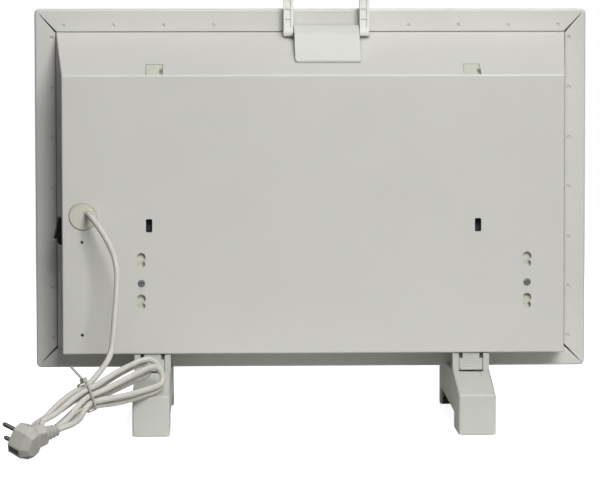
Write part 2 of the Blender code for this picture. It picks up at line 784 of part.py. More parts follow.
def rear_cover(paint):
    """The back cover: a thin folded box that is open to the tray, with a lip inside its rim."""
    bm = bmesh.new()
    add_cover_form(bm, 0, LIP_FRONT_Y, REAR_Y)
    folds = [e for e in bm.edges if max(v.co.y for v in e.verts) > LIP_BACK_Y]
    bevel_edges(bm, folds, COVER_FOLD_RADIUS, CORNER_STEPS)
    cover = add_piece("back_cover", bm, paint)

    bm = bmesh.new()
    add_box(
        bm,
        (-COVER_HALF - COVER_LIP_WIDTH, LIP_FRONT_Y, COVER_BOTTOM_Z - COVER_LIP_WIDTH),
        (COVER_HALF + COVER_LIP_WIDTH, LIP_BACK_Y, COVER_TOP_Z + COVER_LIP_WIDTH),
    )
    join(cover, add_tool("cover_lip", bm))
    cut(cover, lip_corners())

    bm = bmesh.new()
    add_cover_form(bm, COVER_SHEET, LIP_FRONT_Y - OVERRUN, REAR_INNER_Y)
    cut(cover, add_tool("cover_inside", bm))
    cut(cover, rear_face_holes())
    cut(cover, slope_openings())
    cut(cover, underside_slots())
    for tool in side_wall_holes():
        cut(cover, tool)


def lip_corners():
    """Notches that free the lip's four corners, as a folded sheet needs."""
    bm = bmesh.new()
    reach = COVER_LIP_WIDTH + OVERRUN
    for side in (1, -1):
        for edge_z, rise in ((COVER_TOP_Z, 1), (COVER_BOTTOM_Z, -1)):
            xs = sorted((side * COVER_HALF, side * (COVER_HALF + reach)))
            zs = sorted((edge_z, edge_z + rise * reach))
            add_box(bm, (xs[0], LIP_FRONT_Y - OVERRUN, zs[0]), (xs[1], LIP_BACK_Y + OVERRUN, zs[1]))
    return add_tool("lip_corners", bm)


def keyhole(x, z, margin):
    """The outline of a keyhole: a larger circle over a smaller one."""
    upper_radius = KEYHOLE_UPPER_RADIUS + margin
    lower_radius = KEYHOLE_LOWER_RADIUS + margin
    squares = KEYHOLE_CENTRES**2 + upper_radius**2 - lower_radius**2
    reach = squares / (2 * KEYHOLE_CENTRES)
    half = math.sqrt(upper_radius**2 - reach**2)
    above = math.degrees(math.asin(half / upper_radius))
    below = math.degrees(math.asin(half / lower_radius))
    upper = arc((x, z + KEYHOLE_CENTRES / 2), upper_radius, above - 90, 270 - above, ROUND_SIDES)
    lower = arc((x, z - KEYHOLE_CENTRES / 2), lower_radius, 90 + below, 450 - below, ROUND_SIDES)
    return upper + lower[1:-1]


def rear_face_holes():
    """Slots, keyholes and round holes through the flat rear face."""
    bm = bmesh.new()
    start, end = REAR_INNER_Y - OVERRUN, REAR_Y + OVERRUN
    for x in (TALL_SLOT_X, -TALL_SLOT_X):
        half_width = TALL_SLOT_WIDTH / 2 - TALL_SLOT_CORNER
        half_height = TALL_SLOT_HEIGHT / 2 - TALL_SLOT_CORNER
        outline = []
        for x_sign, z_sign, first in ((1, 1, 0), (-1, 1, 90), (-1, -1, 180), (1, -1, 270)):
            centre = (x + x_sign * half_width, TALL_SLOT_Z + z_sign * half_height)
            outline += arc(centre, TALL_SLOT_CORNER, first, first + 90, CORNER_STEPS)
        add_prism(bm, "Y", outline, start, end)
    for x in KEYHOLE_X:
        for z in KEYHOLE_Z:
            add_prism(bm, "Y", keyhole(x, z, 0), start, end)
        add_round(bm, "Y", (x, KEYHOLE_SCREW_Z), SCREW_SHANK_DIAMETER / 2 + GAP, start, end)
    for z in PLAIN_HOLE_Z:
        add_round(bm, "Y", (PLAIN_HOLE_X, z), PLAIN_HOLE_DIAMETER / 2, start, end)
    add_round(bm, "Y", (GLAND_X, GLAND_Z), GLAND_HOLE_DIAMETER / 2, start, end, FINE_SIDES)
    return add_tool("rear_face_holes", bm)


def slope_opening_outline():
    """Y and Z of the strip of the slope that each catch opening takes."""
    length = math.hypot(COVER_DEPTH, COVER_TOP_DROP)
    end = 1 - CATCH_FOLD_MARGIN / length
    start = end - CATCH_OPENING_SHARE
    return (
        slope_point(start, OVERRUN),
        slope_point(end, OVERRUN),
        slope_point(end, -COVER_SHEET - OVERRUN),
        slope_point(start, -COVER_SHEET - OVERRUN),
    )


def slope_openings():
    """The two openings at the foot of the sloped top."""
    bm = bmesh.new()
    half = CATCH_OPENING_WIDTH / 2
    for x in (CATCH_X, -CATCH_X):
        add_prism(bm, "X", slope_opening_outline(), x - half, x + half)
    return add_tool("slope_openings", bm)


def foot_centres():
    """X of each foot's middle, by the side that it is on."""
    half = FOOT_SPACING / 2
    return {"right": FOOT_OFFSET_X + half, "left": FOOT_OFFSET_X - half}


def latch_hook_half():
    """Half the width of the latch above its notches."""
    return LATCH_WIDTH / 2 - LATCH_NOTCH_WIDTH


def underside_slots():
    """Air inlets and the latch slots, through the cover's underside."""
    bm = bmesh.new()
    low = COVER_BOTTOM_Z - OVERRUN
    high = COVER_BOTTOM_Z + COVER_BOTTOM_RISE + COVER_SHEET + OVERRUN
    keep_off = (FOOT_WIDTH + INLET_SLOT_LENGTH) / 2 + OVERRUN
    for column in range(INLET_COLUMNS):
        x = (column - (INLET_COLUMNS - 1) / 2) * INLET_PITCH_X
        if any(abs(x - foot) < keep_off for foot in foot_centres().values()):
            continue
        for row in range(INLET_ROWS):
            y = INLET_FIRST_Y + row * INLET_PITCH_Y
            add_box(
                bm,
                (x - INLET_SLOT_LENGTH / 2, y, low),
                (x + INLET_SLOT_LENGTH / 2, y + INLET_SLOT_WIDTH, high),
            )
    hook_half = latch_hook_half() + LATCH_SLOT_MARGIN
    for x in foot_centres().values():
        add_box(
            bm,
            (x - hook_half, LATCH_FRONT_Y - LATCH_SLOT_MARGIN, low),
            (x + hook_half, LATCH_BACK_Y + LATCH_SWING_ROOM, high),
        )
    return add_tool("underside_slots", bm)


def side_wall_holes():
    """Openings for the switch and the dial cup, square to the right side wall."""
    depth = COVER_SHEET + OVERRUN
    bm = bmesh.new()
    half_length, half_height = SWITCH_BODY_LENGTH / 2 + GAP, SWITCH_BODY_HEIGHT / 2 + GAP
    add_box(bm, (-half_length, -half_height, -depth), (half_length, half_height, OVERRUN))
    switch_hole = add_tool("switch_hole", bm, side_wall_frame("switch_hole_place", SWITCH_Y, SWITCH_Z))
    bm = bmesh.new()
    add_round(bm, "Z", (0, 0), DIAL_CUP_DIAMETER / 2 + GAP, -depth, OVERRUN, FINE_SIDES)
    place = side_wall_frame("dial_hole_place", THERMOSTAT_Y, THERMOSTAT_Z)
    return switch_hole, add_tool("dial_hole", bm, place)


def keyhole_cups(cream, steel):
    """The cream moulding behind each pair of keyholes, and the screw that holds it."""
    back = REAR_INNER_Y - GAP
    for name, x in zip(("right", "left"), KEYHOLE_X):
        reach = KEYHOLE_CENTRES / 2 + KEYHOLE_UPPER_RADIUS + CUP_MARGIN
        bm = bmesh.new()
        add_box(
            bm,
            (x - CUP_WIDTH / 2, back - CUP_THICKNESS, min(KEYHOLE_Z) - reach),
            (x + CUP_WIDTH / 2, back, max(KEYHOLE_Z) + reach),
        )
        cup = add_piece(f"keyhole_cup_{name}", bm, cream)
        bm = bmesh.new()
        for z in KEYHOLE_Z:
            outline = keyhole(x, z, CUP_POCKET_MARGIN)
            add_prism(bm, "Y", outline, back - CUP_POCKET_DEPTH, back + OVERRUN)
        bore = SCREW_SHANK_DIAMETER / 2 + GAP
        add_round(bm, "Y", (x, KEYHOLE_SCREW_Z), bore, back - CUP_THICKNESS - OVERRUN, back + OVERRUN)
        cut(cup, add_tool(f"cup_pockets_{name}", bm))
        cup_screw(f"cup_screw_{name}", x, steel)


def cup_screw(name, x, steel):
    """A pan-head cross-recess screw through the rear face."""
    centre = (x, KEYHOLE_SCREW_Z)
    seat = REAR_Y + GAP
    top = seat + SCREW_HEAD_HEIGHT
    head_radius = SCREW_HEAD_DIAMETER / 2
    bm = bmesh.new()
    add_round(bm, "Y", centre, head_radius, seat, top, ROUND_SIDES, head_radius * 2 / 3)
    screw = add_piece(name, bm, steel)
    bm = bmesh.new()
    shank_radius = SCREW_SHANK_DIAMETER / 2
    add_round(bm, "Y", centre, shank_radius, seat - SCREW_LENGTH, seat + SCREW_HEAD_HEIGHT / 2)
    join(screw, add_tool(f"{name}_shank", bm))
    half, arm = SCREW_CROSS_WIDTH / 2, head_radius * SCREW_CROSS_SHARE
    for tool, (x_half, z_half) in (("slot_across", (arm, half)), ("slot_upright", (half, arm))):
        bm = bmesh.new()
        add_box(
            bm,
            (x - x_half, top - SCREW_CROSS_DEPTH, KEYHOLE_SCREW_Z - z_half),
            (x + x_half, top + OVERRUN, KEYHOLE_SCREW_Z + z_half),
        )
        cut(screw, add_tool(f"{name}_{tool}", bm))


def hook_catches(cream):
    """The cream catch that fills each opening at the foot of the slope, with a mouth at one side."""
    length = math.hypot(COVER_DEPTH, COVER_TOP_DROP)
    end = 1 - CATCH_FOLD_MARGIN / length
    start = end - CATCH_OPENING_SHARE
    half = CATCH_OPENING_WIDTH / 2 + CATCH_WALL
    under = -COVER_SHEET - GAP
    wall = CATCH_WALL / length
    fit = CATCH_PAD_FIT / length
    body = (
        slope_point(start - wall, under),
        slope_point(end - wall, under),
        slope_point(end - wall, under - CATCH_DEPTH),
        slope_point(start - wall, under - CATCH_DEPTH),
    )
    pad = (
        slope_point(start + fit, -CATCH_PAD_SINK),
        slope_point(end - fit, -CATCH_PAD_SINK),
        slope_point(end - fit, under),
        slope_point(end - wall * 3 / 2, under - CATCH_DEPTH / 4),
        slope_point(start + fit, under - CATCH_DEPTH / 4),
    )
    mouth = (
        slope_point(start + (end - start) * CATCH_MOUTH_SHARE, OVERRUN),
        slope_point(end + wall, OVERRUN),
        slope_point(end + wall, under),
        slope_point(end - wall * 3 / 2, under - CATCH_DEPTH / 2),
        slope_point(start + (end - start) * CATCH_MOUTH_SHARE, under - CATCH_DEPTH / 2),
    )
    for name, x in (("right", CATCH_X), ("left", -CATCH_X)):
        bm = bmesh.new()
        add_prism(bm, "X", body, x - half, x + half)
        catch = add_piece(f"wall_catch_{name}", bm, cream)
        bm = bmesh.new()
        inner = CATCH_OPENING_WIDTH / 2 - CATCH_PAD_FIT
        add_prism(bm, "X", pad, x - inner, x + inner)
        join(catch, add_tool(f"catch_pad_{name}", bm))
        bm = bmesh.new()
        add_prism(bm, "X", mouth, x - inner - CATCH_PAD_FIT, x - inner + CATCH_MOUTH_WIDTH)
        cut(catch, add_tool(f"catch_mouth_{name}", bm))


def cable_gland(cream):
    """The round gland, with the lead's hole off its middle."""
    centre = (GLAND_X, GLAND_Z)
    radius = GLAND_DIAMETER / 2
    seat = REAR_Y + GAP
    face = REAR_Y + GLAND_THICKNESS
    bm = bmesh.new()
    add_round(bm, "Y", centre, radius, seat, face, FINE_SIDES, radius - GLAND_THICKNESS / 2)
    gland = add_piece("cable_gland", bm, cream)
    bm = bmesh.new()
    barrel_end = REAR_INNER_Y - GLAND_BARREL_LENGTH
    add_round(bm, "Y", centre, GLAND_BARREL_DIAMETER / 2, barrel_end, (seat + face) / 2, FINE_SIDES)
    join(gland, add_tool("gland_barrel", bm))
    bm = bmesh.new()
    collar = GLAND_COLLAR_DIAMETER / 2
    place = (CORD_X, CORD_Z)
    add_round(bm, "Y", place, collar, (seat + face) / 2, CORD_EXIT_Y, ROUND_SIDES, CORD_RADIUS + GLAND_THICKNESS / 2)
    join(gland, add_tool("gland_collar", bm))
    bm = bmesh.new()
    bore = CORD_RADIUS + GAP
    add_round(bm, "Y", place, bore, barrel_end - OVERRUN, CORD_EXIT_Y + OVERRUN)
    cut(gland, add_tool("gland_bore", bm))
    bm = bmesh.new()
    high = radius - GLAND_GROOVE_INSET
    low = high - GLAND_GROOVE_WIDTH
    outline = arc(centre, high, 15, 165, FINE_SIDES) + arc(centre, low, 165, 15, FINE_SIDES)
    add_prism(bm, "Y", outline, face - GLAND_GROOVE_DEPTH, face + OVERRUN)
    cut(gland, add_tool("gland_groove", bm))


def smooth_points(route, step):
    """Points about a step apart along the smooth curve through a route, straight at both ends."""
    route = [Vector(p) for p in route]
    parts = 24
    fine = []
    for a, b, c, d in zip(route, route[1:], route[2:], route[3:]):
        for i in range(parts):
            t = i / parts
            bend = 2 * a - 5 * b + 4 * c - d
            twist = -a + 3 * b - 3 * c + d
            fine.append((2 * b + (c - a) * t + bend * t**2 + twist * t**3) / 2)
    fine.append(route[-2])
    lengths = [0.0]
    for p, q in zip(fine, fine[1:]):
        lengths.append(lengths[-1] + (q - p).length)
    count = max(2, round(lengths[-1] / step))
    points = [route[0]]
    k = 0
    for i in range(count + 1):
        target = lengths[-1] * i / count
        while k < len(fine) - 2 and lengths[k + 1] < target:
            k += 1
        t = (target - lengths[k]) / (lengths[k + 1] - lengths[k])
        points.append(fine[k].lerp(fine[k + 1], t))
    return [*points, route[-1]]


def add_tube(name, points, diameter, resolution, material):
    """A round tube with closed ends along a line of points."""
    curve = bpy.data.curves.new(name, "CURVE")
    curve.dimensions = "3D"
    curve.bevel_depth = diameter / 2
    curve.bevel_resolution = resolution
    curve.use_fill_caps = True
    spline = curve.splines.new("POLY")
    spline.points.add(len(points) - 1)
    for place, point in zip(spline.points, points):
        place.co = (*point, 1)
    obj = bpy.data.objects.new(name, curve)
    obj.data.materials.append(material)
    bpy.context.scene.collection.objects.link(obj)
    return obj


def hank_axes():
    """The hank's own directions: along it to its right end, up across it and out of it."""
    heading = Vector((math.cos(HANK_HEADING), math.sin(HANK_HEADING), 0))
    along = heading * math.cos(HANK_RISE) + Vector((0, 0, math.sin(HANK_RISE)))
    facing = Vector((heading.y, -heading.x, 0))
    upright = facing.cross(along)
    across = upright * math.cos(HANK_LEAN) - facing * math.sin(HANK_LEAN)
    out = facing * math.cos(HANK_LEAN) + upright * math.sin(HANK_LEAN)
    return along, across, out


def hank_point(along, across, out):
    """A point of the hank from its distances along, across and out of it, with its droop."""
    u, v, w = hank_axes()
    share = min(max(-along / HANK_LEFT_RUN, 0.0), 1.0)
    droop = HANK_DROOP * share**1.5 * (5 - 3 * share) / 2
    return Vector(HANK_CENTRE) + u * along + v * across + w * out - Vector((0, 0, droop))


def strand_point(strand, along):
    """Where one pass of the hank runs, a distance along it, counted from the tie."""
    _, column, row, left_side, left_layer, right_side, right_layer = strand
    at_left = along < 0
    run = HANK_LEFT_RUN if at_left else HANK_RIGHT_RUN
    fold = HANK_LEFT_FOLD if at_left else HANK_RIGHT_FOLD
    side = left_side if at_left else right_side
    layer = left_layer if at_left else right_layer
    share = abs(along) / run
    eased = share**2 * (3 - 2 * share)
    turn = eased * math.pi / 2
    slant = 6 * share * (1 - share) * fold / run
    spread = math.cos(turn) * math.hypot(1, slant)
    across = column * HANK_PITCH * spread + side * fold * eased
    out = HANK_PITCH * (row * math.cos(turn) + layer * math.sin(turn))
    return hank_point(along, across, out)


def fold_points(side_from, side_to, layer, right_end):
    """The half turn at an end of the hank, without the two points that the runs already have."""
    run = HANK_RIGHT_RUN if right_end else -HANK_LEFT_RUN
    fold = HANK_RIGHT_FOLD if right_end else HANK_LEFT_FOLD
    middle, half = fold * (side_from + side_to) / 2, fold * (side_from - side_to) / 2
    points = []
    for i in range(1, HANK_FOLD_STEPS):
        angle = math.pi * i / HANK_FOLD_STEPS
        across = middle + half * math.cos(angle)
        reach = abs(half) * math.sin(angle)
        along = run + reach if right_end else run - reach
        points.append(hank_point(along, across, layer * HANK_PITCH))
    return points


def plug_axes():
    """The plug's own directions: its pins' aim, its cord's aim and the line between its pins."""
    pins = Vector(PLUG_PIN_AIM).normalized()
    cord = Vector(PLUG_CORD_AIM)
    cord = (cord - pins * cord.dot(pins)).normalized()
    return pins, cord, pins.cross(cord)


def plug_neck_aim():
    """The direction of the plug's neck, which leans back from its pins."""
    pins, cord, _ = plug_axes()
    return cord * math.cos(PLUG_NECK_LEAN) - pins * math.sin(PLUG_NECK_LEAN)


def plug_cord_end():
    """Where the lead meets the plug's strain relief."""
    return Vector(PLUG_CENTRE) + plug_neck_aim() * (PLUG_RELIEF_REACH + GAP)


def pass_stations(number, heads_left):
    """Distances along one pass at which it gets a point, in the order that the cord runs."""
    left = [-HANK_LEFT_RUN * share for share in reversed(HANK_RUN_SHARES)]
    right = [HANK_RIGHT_RUN * share for share in HANK_RUN_SHARES]
    stations = [*left, 0, *right]
    if number == 0:
        stations = [*left, HANK_START - CORD_DIAMETER, HANK_START]
    if number == len(HANK_PASSES) - 1:
        stations = [a for a in stations if a > -HANK_LEFT_RUN * HANK_TAIL_SHARE]
    return stations[::-1] if heads_left else stations


def hank_line():
    """The hank's centreline from the lead's end, round its loops, to the plug."""
    points = []
    for number, strand in enumerate(HANK_PASSES):
        heads_left = strand[0] == "left"
        points += [strand_point(strand, a) for a in pass_stations(number, heads_left)]
        if number < len(HANK_PASSES) - 1:
            first = 3 if heads_left else 5
            side, layer = strand[first : first + 2]
            points += fold_points(side, HANK_PASSES[number + 1][first], layer, not heads_left)
    return points + hank_tail(points)


def hank_tail(points):
    """The smooth stretch from the hank's last pass into the plug, straight at its end."""
    cord = plug_neck_aim()
    end = plug_cord_end()
    straight = end + cord * CORD_DIAMETER
    leave = (points[-1] - points[-2]).normalized() * HANK_TAIL_HANDLE
    arrive = straight + cord * HANK_TAIL_HANDLE
    tail = []
    for i in range(1, HANK_TAIL_STEPS + 1):
        t = i / HANK_TAIL_STEPS
        a = points[-1].lerp(points[-1] + leave, t)
        b = (points[-1] + leave).lerp(arrive, t)
        c = arrive.lerp(straight, t)
        tail.append(a.lerp(b, t).lerp(b.lerp(c, t), t))
    return [*tail, end]


def self_gap(points, diameter):
    """The least gap between two stretches of one tube that aren't neighbours, on points along it."""
    dense = []
    for p, q in zip(points, points[1:]):
        parts = max(1, math.ceil((q - p).length / (diameter / 4)))
        dense += [p.lerp(q, i / parts) for i in range(parts)]
    places = [0.0]
    for p, q in zip(dense, dense[1:]):
        places.append(places[-1] + (q - p).length)
    best = math.inf
    for i, p in enumerate(dense):
        for j in range(i + 1, len(dense)):
            if places[j] - places[i] > 3 * diameter:
                best = min(best, (dense[j] - p).length)
    return best - diameter


def mains_lead(cord):
    """The lead from its gland to the hank, and the hank itself."""
    loops = hank_line()
    leave = (loops[0] - loops[1]).normalized()
    exit_point = Vector((CORD_X, CORD_EXIT_Y + GAP, CORD_Z))
    route = [exit_point, exit_point + Vector((0, CORD_DIAMETER, 0))]
    route += [Vector(p) for p in LEAD_ROUTE]
    route += [loops[0] + leave * (CORD_DIAMETER + GAP), loops[0] + leave * GAP]
    points = smooth_points(route, CORD_DIAMETER / LEAD_POINTS_PER_DIAMETER)
    add_tube("cord_lead", points, CORD_DIAMETER, LEAD_BEVEL_RESOLUTION, cord)
    add_tube("cord_hank", loops, CORD_DIAMETER, 1, cord)
    length = sum((q - p).length for p, q in zip(points, points[1:]))
    wound = sum((q - p).length for p, q in zip(loops, loops[1:]))
    print(f"Lead {length:.3f} m and hank {wound:.3f} m, {len(loops)} points")
    print(f"Least gap of the hank to itself: {self_gap(loops, CORD_DIAMETER) * 1000:.2f} mm")


def hank_tie(nylon):
    """The cable tie round the hank's waist, with its head and its free tail."""
    u, v, w = hank_axes()
    matrix = Matrix((u, v, w)).transposed().to_4x4()
    matrix.translation = Vector(HANK_CENTRE)
    frame = add_frame("tie_place", matrix)
    strands = [(p[1], p[2]) for p in HANK_PASSES]
    high = max(column for column, _ in strands) * HANK_PITCH + CORD_RADIUS + TIE_FIT
    out = max(row for _, row in strands) * HANK_PITCH + CORD_RADIUS + TIE_FIT
    corner = CORD_RADIUS
    bm = bmesh.new()
    outer, inner = [], []
    for x_sign, y_sign, first in ((1, 1, 0), (-1, 1, 90), (-1, -1, 180), (1, -1, 270)):
        centre = (x_sign * (high - corner), y_sign * (out - corner))
        outer += arc(centre, corner + TIE_THICKNESS, first, first + 90, CORNER_STEPS)
        inner += arc(centre, corner, first, first + 90, CORNER_STEPS)
    add_prism(bm, "X", outer, -TIE_WIDTH / 2, TIE_WIDTH / 2)
    tie = add_piece("cord_tie", bm, nylon, frame)
    bm = bmesh.new()
    add_prism(bm, "X", inner, -TIE_WIDTH / 2 - OVERRUN, TIE_WIDTH / 2 + OVERRUN)
    cut(tie, add_tool("tie_inside", bm, frame))
    bm = bmesh.new()
    length, depth, height = TIE_HEAD
    base = high + GAP
    add_box(bm, (-length / 2, out - depth, base), (length / 2, out, base + height))
    bmesh.ops.rotate(bm, cent=Vector(), matrix=Matrix.Rotation(math.pi / 2, 3, "X"), verts=bm.verts)
    bmesh.ops.transform(bm, matrix=Matrix.Diagonal((1, -1, 1, 1)), verts=bm.verts)
    join(tie, add_tool("tie_head", bm, frame))
    bm = bmesh.new()
    half_width, half_thick = TIE_WIDTH / 2, TIE_THICKNESS / 2
    middle = out - depth / 2
    add_box(
        bm,
        (-half_width, base + height / 2, middle - half_thick),
        (half_width, base + height / 2 + TIE_TAIL_LENGTH, middle + half_thick),
    )
    bmesh.ops.rotate(
        bm,
        cent=Vector((0, base + height / 2, middle)),
        matrix=Matrix.Rotation(TIE_TAIL_SLANT, 3, "Z"),
        verts=bm.verts,
    )
    join(tie, add_tool("tie_tail", bm, frame))


def plug_corners(share, back_share=0.0):
    """The plug's eight corners across its pins, drawn in towards the narrower back."""
    flat = PLUG_FLAT_REACH + (PLUG_BACK_REACH - PLUG_FLAT_REACH) * back_share
    corner = flat * PLUG_CORNER_REACH / PLUG_FLAT_REACH
    half = corner * math.sqrt(2) - flat
    outline = []
    for x, y in ((1, 0), (0, 1), (-1, 0), (0, -1)):
        outline.append((share * (x * flat + y * half), share * (y * flat - x * half)))
        outline.append((share * (x * flat - y * half), share * (y * flat + x * half)))
    return outline


def mains_plug(body_material, steel):
    """The angled plug: pins aim along its frame's Z and its neck leans back from its X."""
    pins, cord, line = plug_axes()
    matrix = Matrix((cord, -line, pins)).transposed().to_4x4()
    matrix.translation = Vector(PLUG_CENTRE)
    frame = add_frame("plug_place", matrix)
    face = PLUG_FACE_REACH
    bm = bmesh.new()
    rings = []
    for outline, z in (
        (plug_corners(1, 1), -PLUG_RIM_REACH - PLUG_BACK_LENGTH),
        (plug_corners(1), -PLUG_RIM_REACH),
        (plug_corners(PLUG_FACE_SHARE), face),
    ):
        rings.append([bm.verts.new((x, y, z)) for x, y in outline])
    for low, high in zip(rings, rings[1:]):
        for i in range(len(low)):
            j = (i + 1) % len(low)
            bm.faces.new((low[i], low[j], high[j], high[i]))
    bm.faces.new(rings[0][::-1])
    bm.faces.new(rings[-1])
    bevel_edges(bm, bm.edges, PLUG_EDGE, 2)
    body = add_piece("plug_body", bm, body_material, frame)
    neck_frame = plug_neck_frame()
    join(body, plug_neck(neck_frame))
    join(body, plug_relief(neck_frame))
    cut(body, plug_hollows(frame, face))
    for name, side in (("upper", 1), ("lower", -1)):
        plug_pin(f"plug_pin_{name}", side * PLUG_PIN_SPACING / 2, face, steel, frame)
    for name, side in (("far", -1), ("near", 1)):
        plug_clip(f"plug_earth_clip_{name}", side, face, steel, frame)


def plug_neck_frame():
    """A frame whose X runs out along the plug's neck."""
    _, _, line = plug_axes()
    aim = plug_neck_aim()
    matrix = Matrix((aim, -line, aim.cross(-line))).transposed().to_4x4()
    matrix.translation = Vector(PLUG_CENTRE)
    return add_frame("plug_neck_place", matrix)


def plug_neck(frame):
    """The neck that narrows from the plug's body to its strain relief."""
    bm = bmesh.new()
    half = PLUG_NECK_THICKNESS / 2
    root, tip = PLUG_NECK_ROOT_WIDTH / 2, PLUG_NECK_WIDTH / 2
    outline = ((0, -root), (PLUG_NECK_REACH, -tip), (PLUG_NECK_REACH, tip), (0, root))
    add_prism(bm, "Z", outline, -half, half)
    edges = [e for e in bm.edges if e.calc_length() > root]
    bevel_edges(bm, edges, PLUG_NECK_EDGE, CORNER_STEPS)
    return add_tool("plug_neck", bm, frame)


def plug_relief(frame):
    """The ribbed strain relief that the lead comes out of, as one turned profile."""
    start = PLUG_NECK_REACH - OVERRUN
    length = PLUG_RELIEF_REACH - start
    profile = [(start, 0.0)]
    steps = 2 * PLUG_RELIEF_RIBS
    for i in range(steps + 1):
        share = i / steps
        radius = PLUG_RELIEF_ROOT_RADIUS + (PLUG_RELIEF_TIP_RADIUS - PLUG_RELIEF_ROOT_RADIUS) * share
        profile.append((start + length * share, radius + (i % 2) * PLUG_RELIEF_RIB_HEIGHT))
    profile.append((PLUG_RELIEF_REACH, 0.0))
    bm = bmesh.new()
    spun = [bm.verts.new((x, y, 0)) for x, y in profile]
    for a, b in zip(spun, spun[1:]):
        bm.edges.new((a, b))
    bmesh.ops.spin(
        bm,
        geom=list(bm.verts) + list(bm.edges),
        cent=Vector(),
        axis=Vector((1, 0, 0)),
        steps=ROUND_SIDES,
        angle=math.tau,
    )
    bmesh.ops.remove_doubles(bm, verts=bm.verts, dist=OVERRUN / 100)
    for vert in bm.verts:
        vert.co.z *= PLUG_RELIEF_FLAT_SHARE
    return add_tool("plug_relief", bm, frame)


def plug_hollows(frame, face):
    """The pins' sockets and the two earth clips' grooves."""
    bm = bmesh.new()
    for side in (1, -1):
        centre = (0, side * PLUG_PIN_SPACING / 2)
        radius = PLUG_PIN_DIAMETER / 2 + GAP
        add_round(bm, "Z", centre, radius, face - PLUG_PIN_ROOT, face + OVERRUN)
        near = side * (PLUG_FLAT_REACH * PLUG_FACE_SHARE - PLUG_CLIP_GROOVE)
        far = side * (PLUG_FLAT_REACH + OVERRUN)
        half = PLUG_CLIP_WIDTH / 2 + GAP
        low = PLUG_CLIP_START - PLUG_RIM_REACH
        if side == -1:
            near, far = far, near
        add_box(bm, (near, -half, low), (far, half, face + OVERRUN))
    back = -PLUG_RIM_REACH - PLUG_BACK_LENGTH
    add_round(bm, "Z", (0, 0), PLUG_DENT_RADIUS, back - OVERRUN, back + PLUG_DENT_DEPTH)
    return add_tool("plug_hollows", bm, frame)


def plug_pin(name, across, face, steel, frame):
    """One round pin, with a rounded tip."""
    radius = PLUG_PIN_DIAMETER / 2
    root = face - PLUG_PIN_ROOT + GAP
    tip = face + PLUG_PIN_LENGTH
    bm = bmesh.new()
    rings = [(radius, root), (radius, tip - radius), (radius * math.sqrt(3) / 2, tip - radius / 2)]
    rings.append((radius / 2, tip))
    previous = None
    for ring_radius, z in rings:
        ring = [bm.verts.new((x, y, z)) for x, y in circle((0, across), ring_radius, ROUND_SIDES)]
        if previous is None:
            bm.faces.new(ring)
        else:
            for i in range(ROUND_SIDES):
                j = (i + 1) % ROUND_SIDES
                bm.faces.new((previous[i], previous[j], ring[j], ring[i]))
        previous = ring
    bm.faces.new(previous)
    add_piece(name, bm, steel, frame)


def plug_clip(name, side, face, steel, frame):
    """One springy earth clip, lying in its groove."""
    inner = side * (PLUG_FLAT_REACH * PLUG_FACE_SHARE - PLUG_CLIP_GROOVE + GAP)
    outer = inner + side * PLUG_CLIP_THICKNESS
    half = PLUG_CLIP_WIDTH / 2
    low = PLUG_CLIP_START - PLUG_RIM_REACH + GAP
    bm = bmesh.new()
    add_box(bm, (min(inner, outer), -half, low), (max(inner, outer), half, face))
    add_piece(name, bm, steel, frame)


def inner_wiring(cord, grey, wire):
    """The lead's inside end, its clamp, the terminal block and the wires between the controls."""
    start = Vector((CORD_X, CORD_EXIT_Y - GAP, CORD_Z))
    inside = Vector((CORD_X, REAR_INNER_Y - GLAND_BARREL_LENGTH, CORD_Z))
    turned = Vector((CORD_X, INNER_CORD_Y, CORD_Z + INNER_CORD_BEND))
    end = Vector((CORD_X, INNER_CORD_Y, BLOCK_BOTTOM_Z - GAP))
    corner = Vector((CORD_X, INNER_CORD_Y, CORD_Z)).lerp((inside + turned) / 2, 1 / 2)
    route = (start, (start + inside) / 2, inside, corner, turned, (turned + end) / 2, end)
    points = smooth_points(route, CORD_DIAMETER / 2)
    add_tube("cord_inside_end", points, CORD_DIAMETER, 2, cord)

    back = REAR_INNER_Y - GAP
    top = CLAMP_BOTTOM_Z + CLAMP_HEIGHT
    half = CLAMP_WIDTH / 2
    bm = bmesh.new()
    add_box(bm, (CORD_X - half, CLAMP_FRONT_Y, CLAMP_BOTTOM_Z), (CORD_X + half, back, top))
    clamp = add_piece("cord_clamp", bm, grey)
    bm = bmesh.new()
    bore = CORD_RADIUS + GAP
    add_round(bm, "Z", (CORD_X, INNER_CORD_Y), bore, CLAMP_BOTTOM_Z - OVERRUN, top + OVERRUN)
    cut(clamp, add_tool("clamp_bore", bm))

    bm = bmesh.new()
    low = (BLOCK_X - BLOCK_WIDTH / 2, BLOCK_FRONT_Y, BLOCK_BOTTOM_Z)
    add_box(bm, low, (BLOCK_X + BLOCK_WIDTH / 2, back, BLOCK_BOTTOM_Z + BLOCK_HEIGHT))
    block = add_piece("terminal_block", bm, grey)
    bm = bmesh.new()
    pitch = BLOCK_WIDTH / BLOCK_POLES
    for pole in range(BLOCK_POLES):
        x = low[0] + (pole + 1 / 2) * pitch
        for z in (BLOCK_BOTTOM_Z + BLOCK_HEIGHT / 4, BLOCK_BOTTOM_Z + BLOCK_HEIGHT * 3 / 4):
            add_round(
                bm,
                "Y",
                (x, z),
                BLOCK_WELL_DIAMETER / 2,
                BLOCK_FRONT_Y - OVERRUN,
                BLOCK_FRONT_Y + BLOCK_WELL_DEPTH,
                CLINCH_SIDES,
            )
    cut(block, add_tool("block_wells", bm))
    for name, route in wire_routes().items():
        points = smooth_points(route, WIRE_DIAMETER * 4)
        add_tube(name, points, WIRE_DIAMETER, 2, wire)


